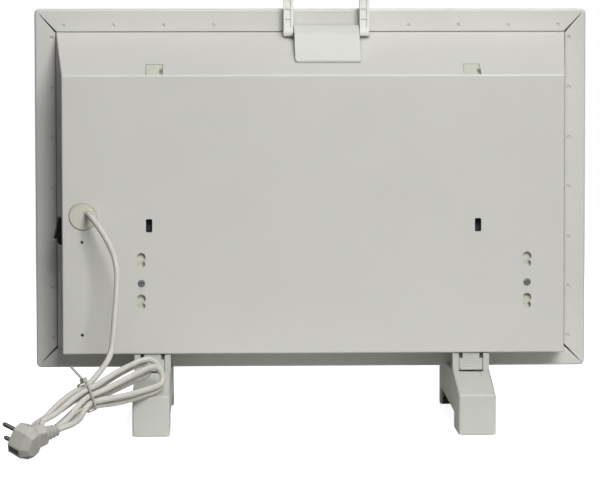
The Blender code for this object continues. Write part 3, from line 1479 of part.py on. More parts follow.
def wire_routes():
    """Where each inner wire runs, from terminal to terminal."""
    wall = cover_half_at(SWITCH_Y) - SWITCH_BODY_DEPTH - SWITCH_TAB_LENGTH
    tab_x = wall - WIRE_DIAMETER / 2
    clear = WIRE_DIAMETER * 2
    block_left = BLOCK_X - BLOCK_WIDTH / 2 - GAP
    block_middle = BLOCK_BOTTOM_Z + BLOCK_HEIGHT / 2
    ahead = INNER_CORD_Y - CORD_DIAMETER - clear
    stat_x = cover_half_at(THERMOSTAT_Y) - DIAL_CUP_DEPTH - THERMOSTAT_DEPTH / 2
    stat_half = THERMOSTAT_SIZE / 2
    rod_end = ELEMENT_FIN_SPAN / 2 + ELEMENT_ROD_REACH + GAP
    cutout_y = SHIELD_Y - CUTOUT_THICKNESS / 2
    cutout_edge = CUTOUT_DIAMETER / 2 + GAP
    low_z = ELEMENT_Z - ELEMENT_BRACKET_HEIGHT / 2
    over_fins = ELEMENT_Z + ELEMENT_FIN_HEIGHT
    behind_fins = (ELEMENT_Y + ELEMENT_FIN_DEPTH / 2 + SHIELD_Y) / 2
    return {
        "wire_to_switch": (
            (BLOCK_X - CORD_DIAMETER, INNER_CORD_Y - clear, BLOCK_BOTTOM_Z - GAP),
            (BLOCK_X - CORD_DIAMETER, INNER_CORD_Y - clear, BLOCK_BOTTOM_Z - clear),
            (BLOCK_X - CORD_DIAMETER, ahead, CLAMP_BOTTOM_Z - clear),
            (CORD_X, ahead, SWITCH_Z + SWITCH_TAB_PITCH + 2 * clear),
            (tab_x - 2 * clear, SWITCH_Y - clear, SWITCH_Z + SWITCH_TAB_PITCH + WIRE_DIAMETER),
            (tab_x - clear, SWITCH_Y, SWITCH_Z + SWITCH_TAB_PITCH),
            (tab_x, SWITCH_Y, SWITCH_Z + SWITCH_TAB_PITCH),
        ),
        "wire_to_thermostat": (
            (tab_x, SWITCH_Y, SWITCH_Z - SWITCH_TAB_PITCH),
            (tab_x - clear, SWITCH_Y, SWITCH_Z - SWITCH_TAB_PITCH),
            (tab_x - 2 * clear, SWITCH_Y - clear, SWITCH_Z - SWITCH_TAB_PITCH - 2 * clear),
            (stat_x, THERMOSTAT_Y + clear, THERMOSTAT_Z + stat_half + 3 * clear),
            (stat_x, THERMOSTAT_Y, THERMOSTAT_Z + stat_half + clear),
            (stat_x, THERMOSTAT_Y, THERMOSTAT_Z + stat_half + GAP),
        ),
        "wire_to_element": (
            (stat_x, THERMOSTAT_Y, THERMOSTAT_Z - stat_half - GAP),
            (stat_x, THERMOSTAT_Y, THERMOSTAT_Z - stat_half - clear),
            ((stat_x + rod_end) / 2, ELEMENT_Y, low_z - clear),
            (rod_end + 2 * clear, ELEMENT_Y, ELEMENT_Z - 2 * clear),
            (rod_end + clear, ELEMENT_Y, ELEMENT_Z),
            (rod_end, ELEMENT_Y, ELEMENT_Z),
        ),
        "wire_to_cutout": (
            (block_left, INNER_CORD_Y, block_middle),
            (block_left - clear, INNER_CORD_Y, block_middle),
            ((block_left + CUTOUT_X) / 2, cutout_y, (block_middle + CUTOUT_Z) / 2),
            (CUTOUT_X + 2 * cutout_edge, cutout_y, CUTOUT_Z),
            (CUTOUT_X + cutout_edge, cutout_y, CUTOUT_Z),
        ),
        "wire_across": (
            (CUTOUT_X - cutout_edge, cutout_y, CUTOUT_Z),
            (CUTOUT_X - 2 * cutout_edge, cutout_y, CUTOUT_Z),
            (0, behind_fins, over_fins),
            (CUTOUT_X - rod_end, behind_fins, over_fins),
            (-rod_end + 4 * clear, ELEMENT_Y, over_fins),
            (-rod_end - clear, ELEMENT_Y, over_fins - 2 * clear),
            (-rod_end - 2 * clear, ELEMENT_Y, ELEMENT_Z + 2 * clear),
            (-rod_end - clear, ELEMENT_Y, ELEMENT_Z),
            (-rod_end, ELEMENT_Y, ELEMENT_Z),
        ),
    }


def rocker_switch(black, steel):
    """The mains switch: a housing through the side wall and a rocker that tips in it."""
    frame = side_wall_frame("switch_place", SWITCH_Y, SWITCH_Z)
    half_length, half_height = SWITCH_BEZEL_LENGTH / 2, SWITCH_BEZEL_HEIGHT / 2
    bm = bmesh.new()
    add_box(bm, (-half_length, -half_height, GAP), (half_length, half_height, SWITCH_BEZEL_PROUD))
    top_edges = [e for e in bm.edges if min(v.co.z for v in e.verts) > GAP * 2]
    bevel_edges(bm, top_edges, SWITCH_BEZEL_PROUD / 2, 2)
    housing = add_piece("switch_housing", bm, black, frame)
    bm = bmesh.new()
    body_half, body_height = SWITCH_BODY_LENGTH / 2, SWITCH_BODY_HEIGHT / 2
    add_box(
        bm,
        (-body_half, -body_height, -SWITCH_BODY_DEPTH),
        (body_half, body_height, SWITCH_BEZEL_PROUD / 2),
    )
    join(housing, add_tool("switch_body", bm, frame))
    bm = bmesh.new()
    well_half = ROCKER_LENGTH / 2 + RUNNING_GAP
    well_height = ROCKER_HALF_HEIGHT + ROCKER_CLEARANCE
    add_box(
        bm,
        (-well_half, -well_height, -SWITCH_WELL_DEPTH),
        (well_half, well_height, SWITCH_BEZEL_PROUD + OVERRUN),
    )
    cut(housing, add_tool("switch_well", bm, frame))
    bm = bmesh.new()
    reach = well_half + ROCKER_PIN_REACH
    add_round(bm, "X", (0, 0), ROCKER_PIN_DIAMETER / 2 + GAP, -reach, reach)
    cut(housing, add_tool("switch_pin_holes", bm, frame))
    for i in range(SWITCH_TAB_COUNT):
        bm = bmesh.new()
        height = (i - (SWITCH_TAB_COUNT - 1) / 2) * SWITCH_TAB_PITCH
        add_box(
            bm,
            (-SWITCH_TAB_WIDTH / 2, height - SWITCH_TAB_THICKNESS / 2, -SWITCH_BODY_DEPTH - SWITCH_TAB_LENGTH),
            (SWITCH_TAB_WIDTH / 2, height + SWITCH_TAB_THICKNESS / 2, -SWITCH_BODY_DEPTH - GAP),
        )
        add_piece(f"switch_tab_{i + 1}", bm, steel, frame)
    switch_rocker(black, frame)


def switch_rocker(black, frame):
    """The rocker, tipped so that its lower end stands out."""
    bm = bmesh.new()
    half = ROCKER_HALF_HEIGHT
    outline = (
        (-half, ROCKER_END_RISE),
        (-half, -ROCKER_SKIRT),
        (-ROCKER_KEEL_HALF, -ROCKER_KEEL),
        (ROCKER_KEEL_HALF, -ROCKER_KEEL),
        (half, -ROCKER_SKIRT),
        (half, ROCKER_END_RISE),
        (0, ROCKER_MIDDLE_RISE),
    )
    add_prism(bm, "X", outline, -ROCKER_LENGTH / 2, ROCKER_LENGTH / 2)
    rocker = add_piece("switch_rocker", bm, black, frame)
    rocker.rotation_euler = (-ROCKER_THROW, 0, 0)
    bm = bmesh.new()
    reach = ROCKER_LENGTH / 2 + RUNNING_GAP + ROCKER_PIN_REACH - GAP
    add_round(bm, "X", (0, 0), ROCKER_PIN_DIAMETER / 2, -reach, reach)
    pins = add_tool("rocker_pins", bm, frame)
    pins.rotation_euler = rocker.rotation_euler
    join(rocker, pins)


def thermostat(white, grey, steel):
    """The dial cup in the side wall, its knob, the spindle and the thermostat behind it."""
    frame = side_wall_frame("thermostat_place", THERMOSTAT_Y, THERMOSTAT_Z)
    floor = -DIAL_CUP_DEPTH + DIAL_CUP_WALL
    cup_radius = DIAL_CUP_DIAMETER / 2
    bm = bmesh.new()
    add_round(bm, "Z", (0, 0), cup_radius, -DIAL_CUP_DEPTH, DIAL_FLANGE_PROUD / 2, FINE_SIDES)
    cup = add_piece("dial_cup", bm, white, frame)
    bm = bmesh.new()
    flange = DIAL_FLANGE_DIAMETER / 2
    rim = flange - DIAL_FLANGE_PROUD / 2
    add_round(bm, "Z", (0, 0), flange, GAP, DIAL_FLANGE_PROUD, FINE_SIDES, rim)
    join(cup, add_tool("dial_flange", bm, frame))
    bm = bmesh.new()
    inside = cup_radius - DIAL_CUP_WALL
    add_round(bm, "Z", (0, 0), inside, floor, DIAL_FLANGE_PROUD + OVERRUN, FINE_SIDES)
    cut(cup, add_tool("dial_cup_inside", bm, frame))
    bm = bmesh.new()
    spindle = SPINDLE_DIAMETER / 2
    add_round(bm, "Z", (0, 0), spindle + RUNNING_GAP, -DIAL_CUP_DEPTH - OVERRUN, floor + OVERRUN)
    cut(cup, add_tool("dial_cup_hole", bm, frame))

    bm = bmesh.new()
    knob_bottom = floor + KNOB_CLEARANCE
    knob_radius = inside - KNOB_CLEARANCE
    base_top = knob_bottom + KNOB_BASE_HEIGHT
    add_round(bm, "Z", (0, 0), knob_radius, knob_bottom, base_top, FINE_SIDES)
    knob = add_piece("thermostat_knob", bm, white, frame)
    bm = bmesh.new()
    grip = KNOB_GRIP_WIDTH / 2
    outline = (
        (-grip, -knob_radius + grip),
        (grip, -knob_radius + grip),
        (grip, knob_radius - grip),
        (-grip, knob_radius - grip),
    )
    add_prism(bm, "Z", outline, (knob_bottom + base_top) / 2, KNOB_PROUD)
    join(knob, add_tool("knob_grip", bm, frame))
    bm = bmesh.new()
    mark = KNOB_MARK_WIDTH / 2
    add_box(
        bm,
        (-mark, grip, KNOB_PROUD - KNOB_MARK_DEPTH),
        (mark, knob_radius, KNOB_PROUD + OVERRUN),
    )
    cut(knob, add_tool("knob_mark", bm, frame))
    bm = bmesh.new()
    socket_top = knob_bottom + SPINDLE_KNOB_REACH + GAP
    add_round(bm, "Z", (0, 0), spindle + GAP, knob_bottom - OVERRUN, socket_top)
    cut(knob, add_tool("knob_socket", bm, frame))

    bm = bmesh.new()
    body_top = -DIAL_CUP_DEPTH - GAP
    spindle_bottom = body_top - SPINDLE_BODY_REACH
    add_round(bm, "Z", (0, 0), spindle, spindle_bottom + GAP, socket_top - GAP)
    add_piece("thermostat_spindle", bm, steel, frame)
    bm = bmesh.new()
    half = THERMOSTAT_SIZE / 2
    add_box(bm, (-half, -half, body_top - THERMOSTAT_DEPTH), (half, half, body_top))
    body = add_piece("thermostat_body", bm, grey, frame)
    bm = bmesh.new()
    add_round(bm, "Z", (0, 0), spindle + RUNNING_GAP, spindle_bottom, body_top + OVERRUN)
    cut(body, add_tool("thermostat_socket", bm, frame))


def heating_element(aluminium, ceramic, steel):
    """The finned element, its two insulators and the brackets that hold them."""
    half_span = ELEMENT_FIN_SPAN / 2
    body, fin = ELEMENT_BODY_HEIGHT / 2, ELEMENT_FIN_HEIGHT / 2
    pitch = (ELEMENT_FIN_SPAN - ELEMENT_FIN_THICKNESS) / (ELEMENT_FINS - 1)
    upper = []
    for i in range(ELEMENT_FINS):
        left = -half_span + i * pitch
        right = left + ELEMENT_FIN_THICKNESS
        upper += [(left, body), (left, fin), (right, fin), (right, body)]
    comb = upper[1:-1]
    lower = [(x, -z) for x, z in reversed(comb)]
    outline = [(x, ELEMENT_Z + z) for x, z in comb + lower]
    bm = bmesh.new()
    half_depth = ELEMENT_FIN_DEPTH / 2
    add_prism(bm, "Y", outline, ELEMENT_Y - half_depth, ELEMENT_Y + half_depth)
    element = add_piece("heating_element", bm, aluminium)
    bm = bmesh.new()
    rod = half_span + ELEMENT_ROD_REACH
    centre = (ELEMENT_Y, ELEMENT_Z)
    add_round(bm, "X", centre, ELEMENT_ROD_DIAMETER / 2, -rod, rod)
    join(element, add_tool("element_rod", bm))
    for name, side in (("right", 1), ("left", -1)):
        element_mount(name, side, ceramic, steel)


def element_mount(name, side, ceramic, steel):
    """An insulator round one end of the element's rod, in its bracket on the cover."""
    centre = (ELEMENT_Y, ELEMENT_Z)
    near = ELEMENT_FIN_SPAN / 2 + INSULATOR_INSET
    far = near + INSULATOR_LENGTH
    bm = bmesh.new()
    add_round(bm, "X", centre, INSULATOR_DIAMETER / 2, side * near, side * far)
    insulator = add_piece(f"element_insulator_{name}", bm, ceramic)
    bm = bmesh.new()
    bore = ELEMENT_ROD_DIAMETER / 2 + GAP
    add_round(bm, "X", centre, bore, side * (near - OVERRUN), side * (far + OVERRUN))
    cut(insulator, add_tool(f"insulator_bore_{name}", bm))

    plate = side * (near + far) / 2
    out = plate + side * ELEMENT_BRACKET_SHEET
    edge = out + side * ELEMENT_BRACKET_FLANGE
    front = ELEMENT_Y - ELEMENT_BRACKET_REACH
    back = REAR_INNER_Y - GAP
    step = back - ELEMENT_BRACKET_SHEET
    outline = ((plate, front), (out, front), (out, step), (edge, step), (edge, back), (plate, back))
    low = ELEMENT_Z - ELEMENT_BRACKET_HEIGHT / 2
    bm = bmesh.new()
    add_prism(bm, "Z", outline, low, low + ELEMENT_BRACKET_HEIGHT)
    bracket = add_piece(f"element_bracket_{name}", bm, steel)
    bm = bmesh.new()
    hole = INSULATOR_DIAMETER / 2 + GAP
    add_round(bm, "X", centre, hole, plate - side * OVERRUN, out + side * OVERRUN)
    cut(bracket, add_tool(f"bracket_hole_{name}", bm))


def air_guide(aluminium, black):
    """The sheet that leads warm air up and forward to the outlet, with the safety cut-out on it."""
    plate = ELEMENT_FIN_SPAN / 2 + INSULATOR_INSET + INSULATOR_LENGTH / 2
    half = plate - GAP
    lean = math.atan2(SHIELD_Y - SHIELD_TOP_Y, SHIELD_TOP_Z - SHIELD_BEND_Z)
    drop = SHIELD_SHEET * math.tan(lean / 2)
    back = SHIELD_Y + SHIELD_SHEET
    outline = (
        (SHIELD_Y, SHIELD_BOTTOM_Z),
        (SHIELD_Y, SHIELD_BEND_Z),
        (SHIELD_TOP_Y, SHIELD_TOP_Z),
        (SHIELD_TOP_Y + SHIELD_SHEET * math.cos(lean), SHIELD_TOP_Z + SHIELD_SHEET * math.sin(lean)),
        (back, SHIELD_BEND_Z + drop),
        (back, SHIELD_BOTTOM_Z),
    )
    bm = bmesh.new()
    add_prism(bm, "X", outline, -half, half)
    add_piece("air_guide", bm, aluminium)
    bm = bmesh.new()
    end = SHIELD_Y - GAP
    radius = CUTOUT_DIAMETER / 2
    add_round(bm, "Y", (CUTOUT_X, CUTOUT_Z), radius, end - CUTOUT_THICKNESS, end)
    add_piece("thermal_cutout", bm, black)


def bracket_outline():
    """Y and Z of the handle bracket: a barrel at the pivot and a plate down the slope."""
    pivot = (HANDLE_PIVOT_Y, HANDLE_PIVOT_Z)
    seat = TRAY_BACK_Y + GAP
    knee = slope_point(BRACKET_KNEE_SHARE, BRACKET_KNEE_LIFT)
    barrel = arc(pivot, BRACKET_BARREL_RADIUS, 125, BRACKET_BARREL_END, CLINCH_SIDES)
    slope_start = slope_point(GAP / COVER_DEPTH * 2, GAP)
    return [
        (seat, slope_start[1]),
        (seat, BRACKET_TOP_Z),
        (seat + BRACKET_LIP / 2, BRACKET_TOP_Z + BRACKET_LIP / 2),
        *barrel,
        knee,
        slope_point(BRACKET_LENGTH_SHARE, BRACKET_PLATE_THICKNESS),
        slope_point(BRACKET_LENGTH_SHARE, GAP),
    ]


def carrying_handle(white, steel):
    """The bracket on the slope, its two pins and the bail that folds down over it."""
    pivot = (HANDLE_PIVOT_Y, HANDLE_PIVOT_Z)
    half = BRACKET_WIDTH / 2
    bm = bmesh.new()
    left, right = HANDLE_CENTRE_X - half, HANDLE_CENTRE_X + half
    add_prism(bm, "X", bracket_outline(), left, right)
    end_y = slope_point(BRACKET_LENGTH_SHARE, GAP)[0] - GAP
    corners = []
    for edge in bm.edges:
        a, b = (v.co for v in edge.verts)
        if abs(a.x - b.x) < GAP and min(a.y, b.y) > end_y:
            corners.append(edge)
    bevel_edges(bm, corners, BRACKET_CORNER, CORNER_STEPS)
    bracket = add_piece("handle_bracket", bm, white)
    bm = bmesh.new()
    hole = HANDLE_PIN_DIAMETER / 2 + GAP
    for edge, side in ((left, 1), (right, -1)):
        entry = edge + side * (HANDLE_PIN_ENTRY + GAP)
        add_round(bm, "X", pivot, hole, edge - side * OVERRUN, entry)
    cut(bracket, add_tool("bracket_pin_holes", bm))
    for name, edge, side in (("left", left, -1), ("right", right, 1)):
        bm = bmesh.new()
        start = edge - side * HANDLE_PIN_ENTRY
        end = edge + side * (HANDLE_SIDE_GAP + HANDLE_PIN_ENTRY)
        add_round(bm, "X", pivot, HANDLE_PIN_DIAMETER / 2, start, end)
        add_piece(f"handle_pin_{name}", bm, steel)
    handle_bail(white, half + HANDLE_SIDE_GAP)


def handle_bail(white, inner):
    """The bail: two arms and a grip, with ribbed pockets in the backs of the arms."""
    pivot_y, pivot_z = HANDLE_PIVOT_Y, HANDLE_PIVOT_Z
    origin = (HANDLE_CENTRE_X, pivot_y, pivot_z)
    half_depth = HANDLE_ARM_DEPTH / 2
    grip_top = pivot_z + HANDLE_GRIP_RADIUS + HANDLE_GRIP_HEIGHT / 2
    grip_low = grip_top - HANDLE_GRIP_HEIGHT
    outer = inner + HANDLE_ARM_WIDTH
    bm = bmesh.new()
    round_end = arc((pivot_y, pivot_z), half_depth, 180, 360, CLINCH_SIDES)
    arm_outline = [*round_end, (pivot_y + half_depth, grip_top), (pivot_y - half_depth, grip_top)]
    left = HANDLE_CENTRE_X - outer
    add_prism(bm, "X", arm_outline, left, left + HANDLE_ARM_WIDTH)
    handle = add_piece("carry_handle", bm, white, None, origin)
    bm = bmesh.new()
    right = HANDLE_CENTRE_X + outer
    add_prism(bm, "X", arm_outline, right - HANDLE_ARM_WIDTH, right)
    join(handle, add_tool("handle_right_arm", bm))

    bm = bmesh.new()
    radius = HANDLE_GRIP_ROUND
    outline = []
    for y, z, first in (
        (pivot_y + half_depth - radius, grip_top - radius, 0),
        (pivot_y - half_depth + radius, grip_top - radius, 90),
        (pivot_y - half_depth + radius, grip_low + radius, 180),
        (pivot_y + half_depth - radius, grip_low + radius, 270),
    ):
        outline += arc((y, z), radius, first, first + 90, CORNER_STEPS)
    inset = HANDLE_ARM_WIDTH / 2
    add_prism(bm, "X", outline, left + inset, right - inset)
    join(handle, add_tool("handle_grip", bm))

    bm = bmesh.new()
    back = pivot_y + half_depth
    for arm_left in (left, right - HANDLE_ARM_WIDTH):
        pocket_left = arm_left + HANDLE_ARM_WIDTH - HANDLE_POCKET_WALL - HANDLE_POCKET_WIDTH
        for i in range(HANDLE_POCKET_COUNT):
            low = pivot_z + HANDLE_POCKET_START + i * HANDLE_POCKET_PITCH
            add_box(
                bm,
                (pocket_left, back - HANDLE_POCKET_DEPTH, low),
                (pocket_left + HANDLE_POCKET_WIDTH, back + OVERRUN, low + HANDLE_POCKET_PITCH - HANDLE_POCKET_RIB),
            )
    cut(handle, add_tool("handle_pockets", bm))
    bm = bmesh.new()
    hole = HANDLE_PIN_DIAMETER / 2 + RUNNING_GAP
    reach = HANDLE_PIN_ENTRY + RUNNING_GAP
    for edge, side in ((HANDLE_CENTRE_X - inner, -1), (HANDLE_CENTRE_X + inner, 1)):
        add_round(bm, "X", (pivot_y, pivot_z), hole, edge - side * OVERRUN, edge + side * reach)
    cut(handle, add_tool("handle_pin_holes", bm))


def foot_outline():
    """Y and Z of a foot seen from the side: toes, arch, tray saddle and neck."""
    saddle_back = TRAY_BACK_Y + GAP
    saddle_front = TRAY_FRONT_Y - GAP
    saddle_z = PANEL_BOTTOM_Z - GAP
    lip_front = saddle_front - SADDLE_LIP_THICKNESS
    neck_top = cover_bottom_at(NECK_FRONT_Y) - GAP
    return (
        (FOOT_HALF, FOOT_LIFT),
        (FOOT_HALF, REAR_TOE_HEIGHT - TOE_CHAMFER),
        (FOOT_HALF - TOE_CHAMFER, REAR_TOE_HEIGHT),
        (NECK_BACK_Y, SHOULDER_Z),
        (NECK_BACK_Y, neck_top),
        (NECK_FRONT_Y, neck_top),
        (NECK_FRONT_Y, BRIDGE_Z),
        (saddle_back, BRIDGE_Z),
        (saddle_back, saddle_z),
        (saddle_front, saddle_z),
        (saddle_front, saddle_z + SADDLE_LIP_HEIGHT),
        (lip_front, saddle_z + SADDLE_LIP_HEIGHT),
        (-FOOT_HALF + TOE_CHAMFER, FRONT_TOE_HEIGHT),
        (-FOOT_HALF, FRONT_TOE_HEIGHT - TOE_CHAMFER),
        (-FOOT_HALF, FOOT_LIFT),
        (-FOOT_HALF + FRONT_TOE_LENGTH, FOOT_LIFT),
        (-FOOT_HALF + FRONT_TOE_LENGTH, ARCH_FRONT_Z),
        (FOOT_HALF - REAR_TOE_LENGTH, ARCH_REAR_Z),
        (FOOT_HALF - REAR_TOE_LENGTH, FOOT_LIFT),
    )


def foot_hollow_outline():
    """Y and Z of the space inside a foot, open at the floor."""
    wall = FOOT_WALL
    saddle_z = PANEL_BOTTOM_Z - GAP
    return (
        (FOOT_HALF - wall, FOOT_LIFT - OVERRUN),
        (FOOT_HALF - wall, REAR_TOE_HEIGHT - wall - TOE_CHAMFER / 2),
        (NECK_BACK_Y + wall, SHOULDER_Z - LATCH_WINDOW_DEPTH),
        (TRAY_BACK_Y + wall, SHOULDER_Z - LATCH_WINDOW_DEPTH),
        (TRAY_BACK_Y + wall, saddle_z - wall),
        (TRAY_FRONT_Y - wall, saddle_z - wall),
        (-FOOT_HALF + wall, FRONT_TOE_HEIGHT - wall - TOE_CHAMFER / 2),
        (-FOOT_HALF + wall, FOOT_LIFT - OVERRUN),
    )


def foot_upper_edges(bm):
    """The long outer edges of a foot's toes and slopes, which are rounded."""
    lip_front = TRAY_FRONT_Y - SADDLE_LIP_THICKNESS
    chosen = []
    for edge in bm.edges:
        a, b = (v.co for v in edge.verts)
        along_side = abs(a.x - b.x) < GAP
        outside = all(p.y > NECK_BACK_Y - GAP or p.y < lip_front for p in (a, b))
        if along_side and outside and ARCH_FRONT_Z + GAP < max(a.z, b.z) < SHOULDER_Z + GAP:
            chosen.append(edge)
    return chosen


def foot(name, x, white, rubber):
    """One clip-on foot with its latch and its two pads."""
    half = FOOT_WIDTH / 2
    bm = bmesh.new()
    add_prism(bm, "X", foot_outline(), x - half, x + half)
    bevel_edges(bm, foot_upper_edges(bm), FOOT_EDGE, 2)
    body = add_piece(f"foot_{name}", bm, white)

    bm = bmesh.new()
    inner = half - FOOT_WALL
    add_prism(bm, "X", foot_hollow_outline(), x - inner, x + inner)
    cut(body, add_tool(f"foot_hollow_{name}", bm))

    bm = bmesh.new()
    window = LATCH_WIDTH / 2 + LATCH_SIDE_GAP
    add_box(
        bm,
        (x - window, NECK_BACK_Y - LATCH_WINDOW_DEPTH, LATCH_BOTTOM_Z - LATCH_SLOT_HEIGHT),
        (x + window, NECK_BACK_Y + OVERRUN, COVER_BOTTOM_Z + COVER_BOTTOM_RISE + OVERRUN),
    )
    cut(body, add_tool(f"latch_window_{name}", bm))
    bm = bmesh.new()
    pivot_y = (LATCH_BACK_Y + LATCH_FRONT_Y) / 2
    reach = window + LATCH_PIVOT_REACH
    add_round(
        bm, "X", (pivot_y, LATCH_PIVOT_Z), LATCH_PIVOT_DIAMETER / 2 + GAP, x - reach, x + reach
    )
    cut(body, add_tool(f"latch_sockets_{name}", bm))
    cut(body, foot_scoop(name, x))
    foot_latch(name, x, pivot_y, white)
    foot_pads(name, x, rubber)


def foot_scoop(name, x):
    """The shallow finger recess in the slope under the latch."""
    run = FOOT_HALF - TOE_CHAMFER - NECK_BACK_Y
    fall = SHOULDER_Z - REAR_TOE_HEIGHT
    tilt = math.atan2(fall, run)
    bm = bmesh.new()
    half = SCOOP_WIDTH / 2
    add_box(bm, (-half, 0, -SCOOP_DEPTH), (half, SCOOP_LENGTH, OVERRUN))
    bmesh.ops.rotate(bm, cent=Vector(), matrix=Matrix.Rotation(-tilt, 3, "X"), verts=bm.verts)
    start = LATCH_WALL_CLEAR
    place = Vector((x, NECK_BACK_Y + start, SHOULDER_Z - start * fall / run))
    bmesh.ops.translate(bm, vec=place, verts=bm.verts)
    return add_tool(f"foot_scoop_{name}", bm)


def foot_latch(name, x, pivot_y, white):
    """The latch that turns on two studs in the neck and hooks into the cover's underside."""
    half = LATCH_WIDTH / 2
    hook_half = latch_hook_half()
    sheet_top = cover_bottom_at(LATCH_FRONT_Y) + COVER_SHEET
    barb_low = sheet_top + GAP * 2
    hook_top = barb_low + LATCH_HOOK_HEIGHT
    notch_z = cover_bottom_at(LATCH_FRONT_Y) - LATCH_NOTCH_HEIGHT
    origin = (x, pivot_y, LATCH_PIVOT_Z)
    bm = bmesh.new()
    outline = (
        (x - half, LATCH_BOTTOM_Z),
        (x + half, LATCH_BOTTOM_Z),
        (x + half, notch_z),
        (x + hook_half, notch_z),
        (x + hook_half, hook_top),
        (x - hook_half, hook_top),
        (x - hook_half, notch_z),
        (x - half, notch_z),
    )
    add_prism(bm, "Y", outline, LATCH_FRONT_Y, LATCH_BACK_Y)
    latch = add_piece(f"foot_latch_{name}", bm, white, None, origin)
    bm = bmesh.new()
    barb = (
        (LATCH_FRONT_Y + OVERRUN / 2, barb_low),
        (LATCH_FRONT_Y - LATCH_BARB, barb_low),
        (LATCH_FRONT_Y + OVERRUN / 2, hook_top - LATCH_BARB / 4),
    )
    add_prism(bm, "X", barb, x - hook_half + LATCH_LIP, x + hook_half - LATCH_LIP)
    join(latch, add_tool(f"latch_barb_{name}", bm))
    bm = bmesh.new()
    lip = (
        (LATCH_BACK_Y - OVERRUN / 2, LATCH_BOTTOM_Z + LATCH_LIP / 8),
        (LATCH_BACK_Y + LATCH_LIP, LATCH_BOTTOM_Z + LATCH_LIP / 8),
        (LATCH_BACK_Y + LATCH_LIP, LATCH_BOTTOM_Z + LATCH_LIP_HEIGHT),
        (LATCH_BACK_Y - OVERRUN / 2, LATCH_BOTTOM_Z + LATCH_LIP_HEIGHT * 2),
    )
    add_prism(bm, "X", lip, x - half + LATCH_LIP, x + half - LATCH_LIP)
    join(latch, add_tool(f"latch_lip_{name}", bm))
    bm = bmesh.new()
    reach = half + LATCH_SIDE_GAP + LATCH_PIVOT_REACH - GAP
    add_round(bm, "X", (pivot_y, LATCH_PIVOT_Z), LATCH_PIVOT_DIAMETER / 2, x - reach, x + reach)
    join(latch, add_tool(f"latch_studs_{name}", bm))


def foot_pads(name, x, rubber):
    """The rubber pads that fill the open undersides of the toes."""
    half = FOOT_WIDTH / 2 - FOOT_WALL - GAP
    end = FOOT_HALF - FOOT_WALL - GAP
    for place, start, stop in (
        ("front", -end, -end + FRONT_PAD_LENGTH),
        ("rear", end - REAR_PAD_LENGTH, end),
    ):
        bm = bmesh.new()
        add_box(bm, (x - half, start, 0), (x + half, stop, PAD_THICKNESS))
        add_piece(f"foot_pad_{name}_{place}", bm, rubber)


def main():
    """Builds the whole heater."""
    clear_scene()
    paint = finish("White powder-coated steel", (0.60, 0.59, 0.56), 0.45)
    white = finish("White moulded plastic", (0.66, 0.67, 0.63), 0.40)
    cream = finish("Cream moulded plastic", (0.58, 0.55, 0.47), 0.45)
    dark = finish("Dark grey plastic", (0.05, 0.05, 0.05), 0.50)
    black = finish("Black plastic", (0.012, 0.012, 0.010), 0.35)
    grey = finish("Grey plastic", (0.25, 0.25, 0.25), 0.50)
    rubber = finish("Grey rubber", (0.08, 0.08, 0.08), 0.80)
    cord = finish("Warm grey PVC", (0.61, 0.60, 0.56), 0.45)
    nylon = finish("Clear grey nylon", (0.55, 0.55, 0.52), 0.40)
    steel = finish("Zinc-plated steel", (0.55, 0.54, 0.52), 0.35, 1.0)
    aluminium = finish("Aluminium", (0.80, 0.80, 0.80), 0.35, 1.0)
    ceramic = finish("Ceramic", (0.80, 0.76, 0.68), 0.30)
    wire = finish("Silicone wire", (0.70, 0.68, 0.60), 0.60)
    front_tray(paint)
    outlet_grille(dark)
    rear_cover(paint)
    keyhole_cups(cream, steel)
    hook_catches(cream)
    cable_gland(cream)
    mains_lead(cord)
    hank_tie(nylon)
    mains_plug(cord, steel)
    inner_wiring(cord, grey, wire)
    rocker_switch(black, steel)
    thermostat(white, grey, steel)
    heating_element(aluminium, ceramic, steel)
    air_guide(aluminium, black)
    carrying_handle(white, steel)
    for name, x in foot_centres().items():
        foot(name, x, white, rubber)


main()
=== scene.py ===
"""Finishes, mains lead, studio and camera for a slim convector heater seen from behind.

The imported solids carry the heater's shape. This file dresses each of them in a material that is
made in nodes, lays the mains lead and its tied hank as one smooth cord, and sets up a pale studio.
World X runs to the right of someone who faces the heater's front, Y to its back and Z up.
"""

import logging
import math
from dataclasses import dataclass
from enum import Enum
from typing import ClassVar

import bmesh
import bpy
from mathutils import Matrix, Vector


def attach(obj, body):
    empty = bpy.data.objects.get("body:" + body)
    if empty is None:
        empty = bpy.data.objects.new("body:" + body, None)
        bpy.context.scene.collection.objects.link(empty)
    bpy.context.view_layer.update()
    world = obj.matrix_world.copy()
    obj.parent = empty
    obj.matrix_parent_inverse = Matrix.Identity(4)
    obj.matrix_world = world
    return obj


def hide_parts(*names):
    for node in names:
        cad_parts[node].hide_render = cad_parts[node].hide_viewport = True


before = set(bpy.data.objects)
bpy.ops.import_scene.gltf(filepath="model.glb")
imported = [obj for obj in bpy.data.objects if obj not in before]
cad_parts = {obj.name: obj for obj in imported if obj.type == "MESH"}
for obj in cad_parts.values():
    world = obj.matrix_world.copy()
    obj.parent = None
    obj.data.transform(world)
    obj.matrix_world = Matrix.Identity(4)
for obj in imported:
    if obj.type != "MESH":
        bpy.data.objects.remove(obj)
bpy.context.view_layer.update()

LOG = logging.getLogger("convector_heater")
MM = 0.001
IMAGE_WIDTH = 600
MAIN_BODY = "heater"
WHITE = (1.0, 1.0, 1.0, 1.0)
# The brownish dark that painted shade in corners and hollows mixes into a finish's colour.
CORNER_SHADE_COLOUR = "#4A4640"
SMOOTHSTEP = {"interpolation_type": "SMOOTHSTEP"}
COLOURS = {"data_type": "RGBA"}
# The Mix node's colours go by number, because each of its kinds of value has the same names.
MIX_FIRST, MIX_SECOND, MIX_RESULT = 6, 7, 2


class Relief(Enum):
    """How a surface was made, which decides the texture of its bump."""

    ORANGE_PEEL = "orange peel"
    SPARK_ERODED = "spark eroded"
    POLISHED = "polished"


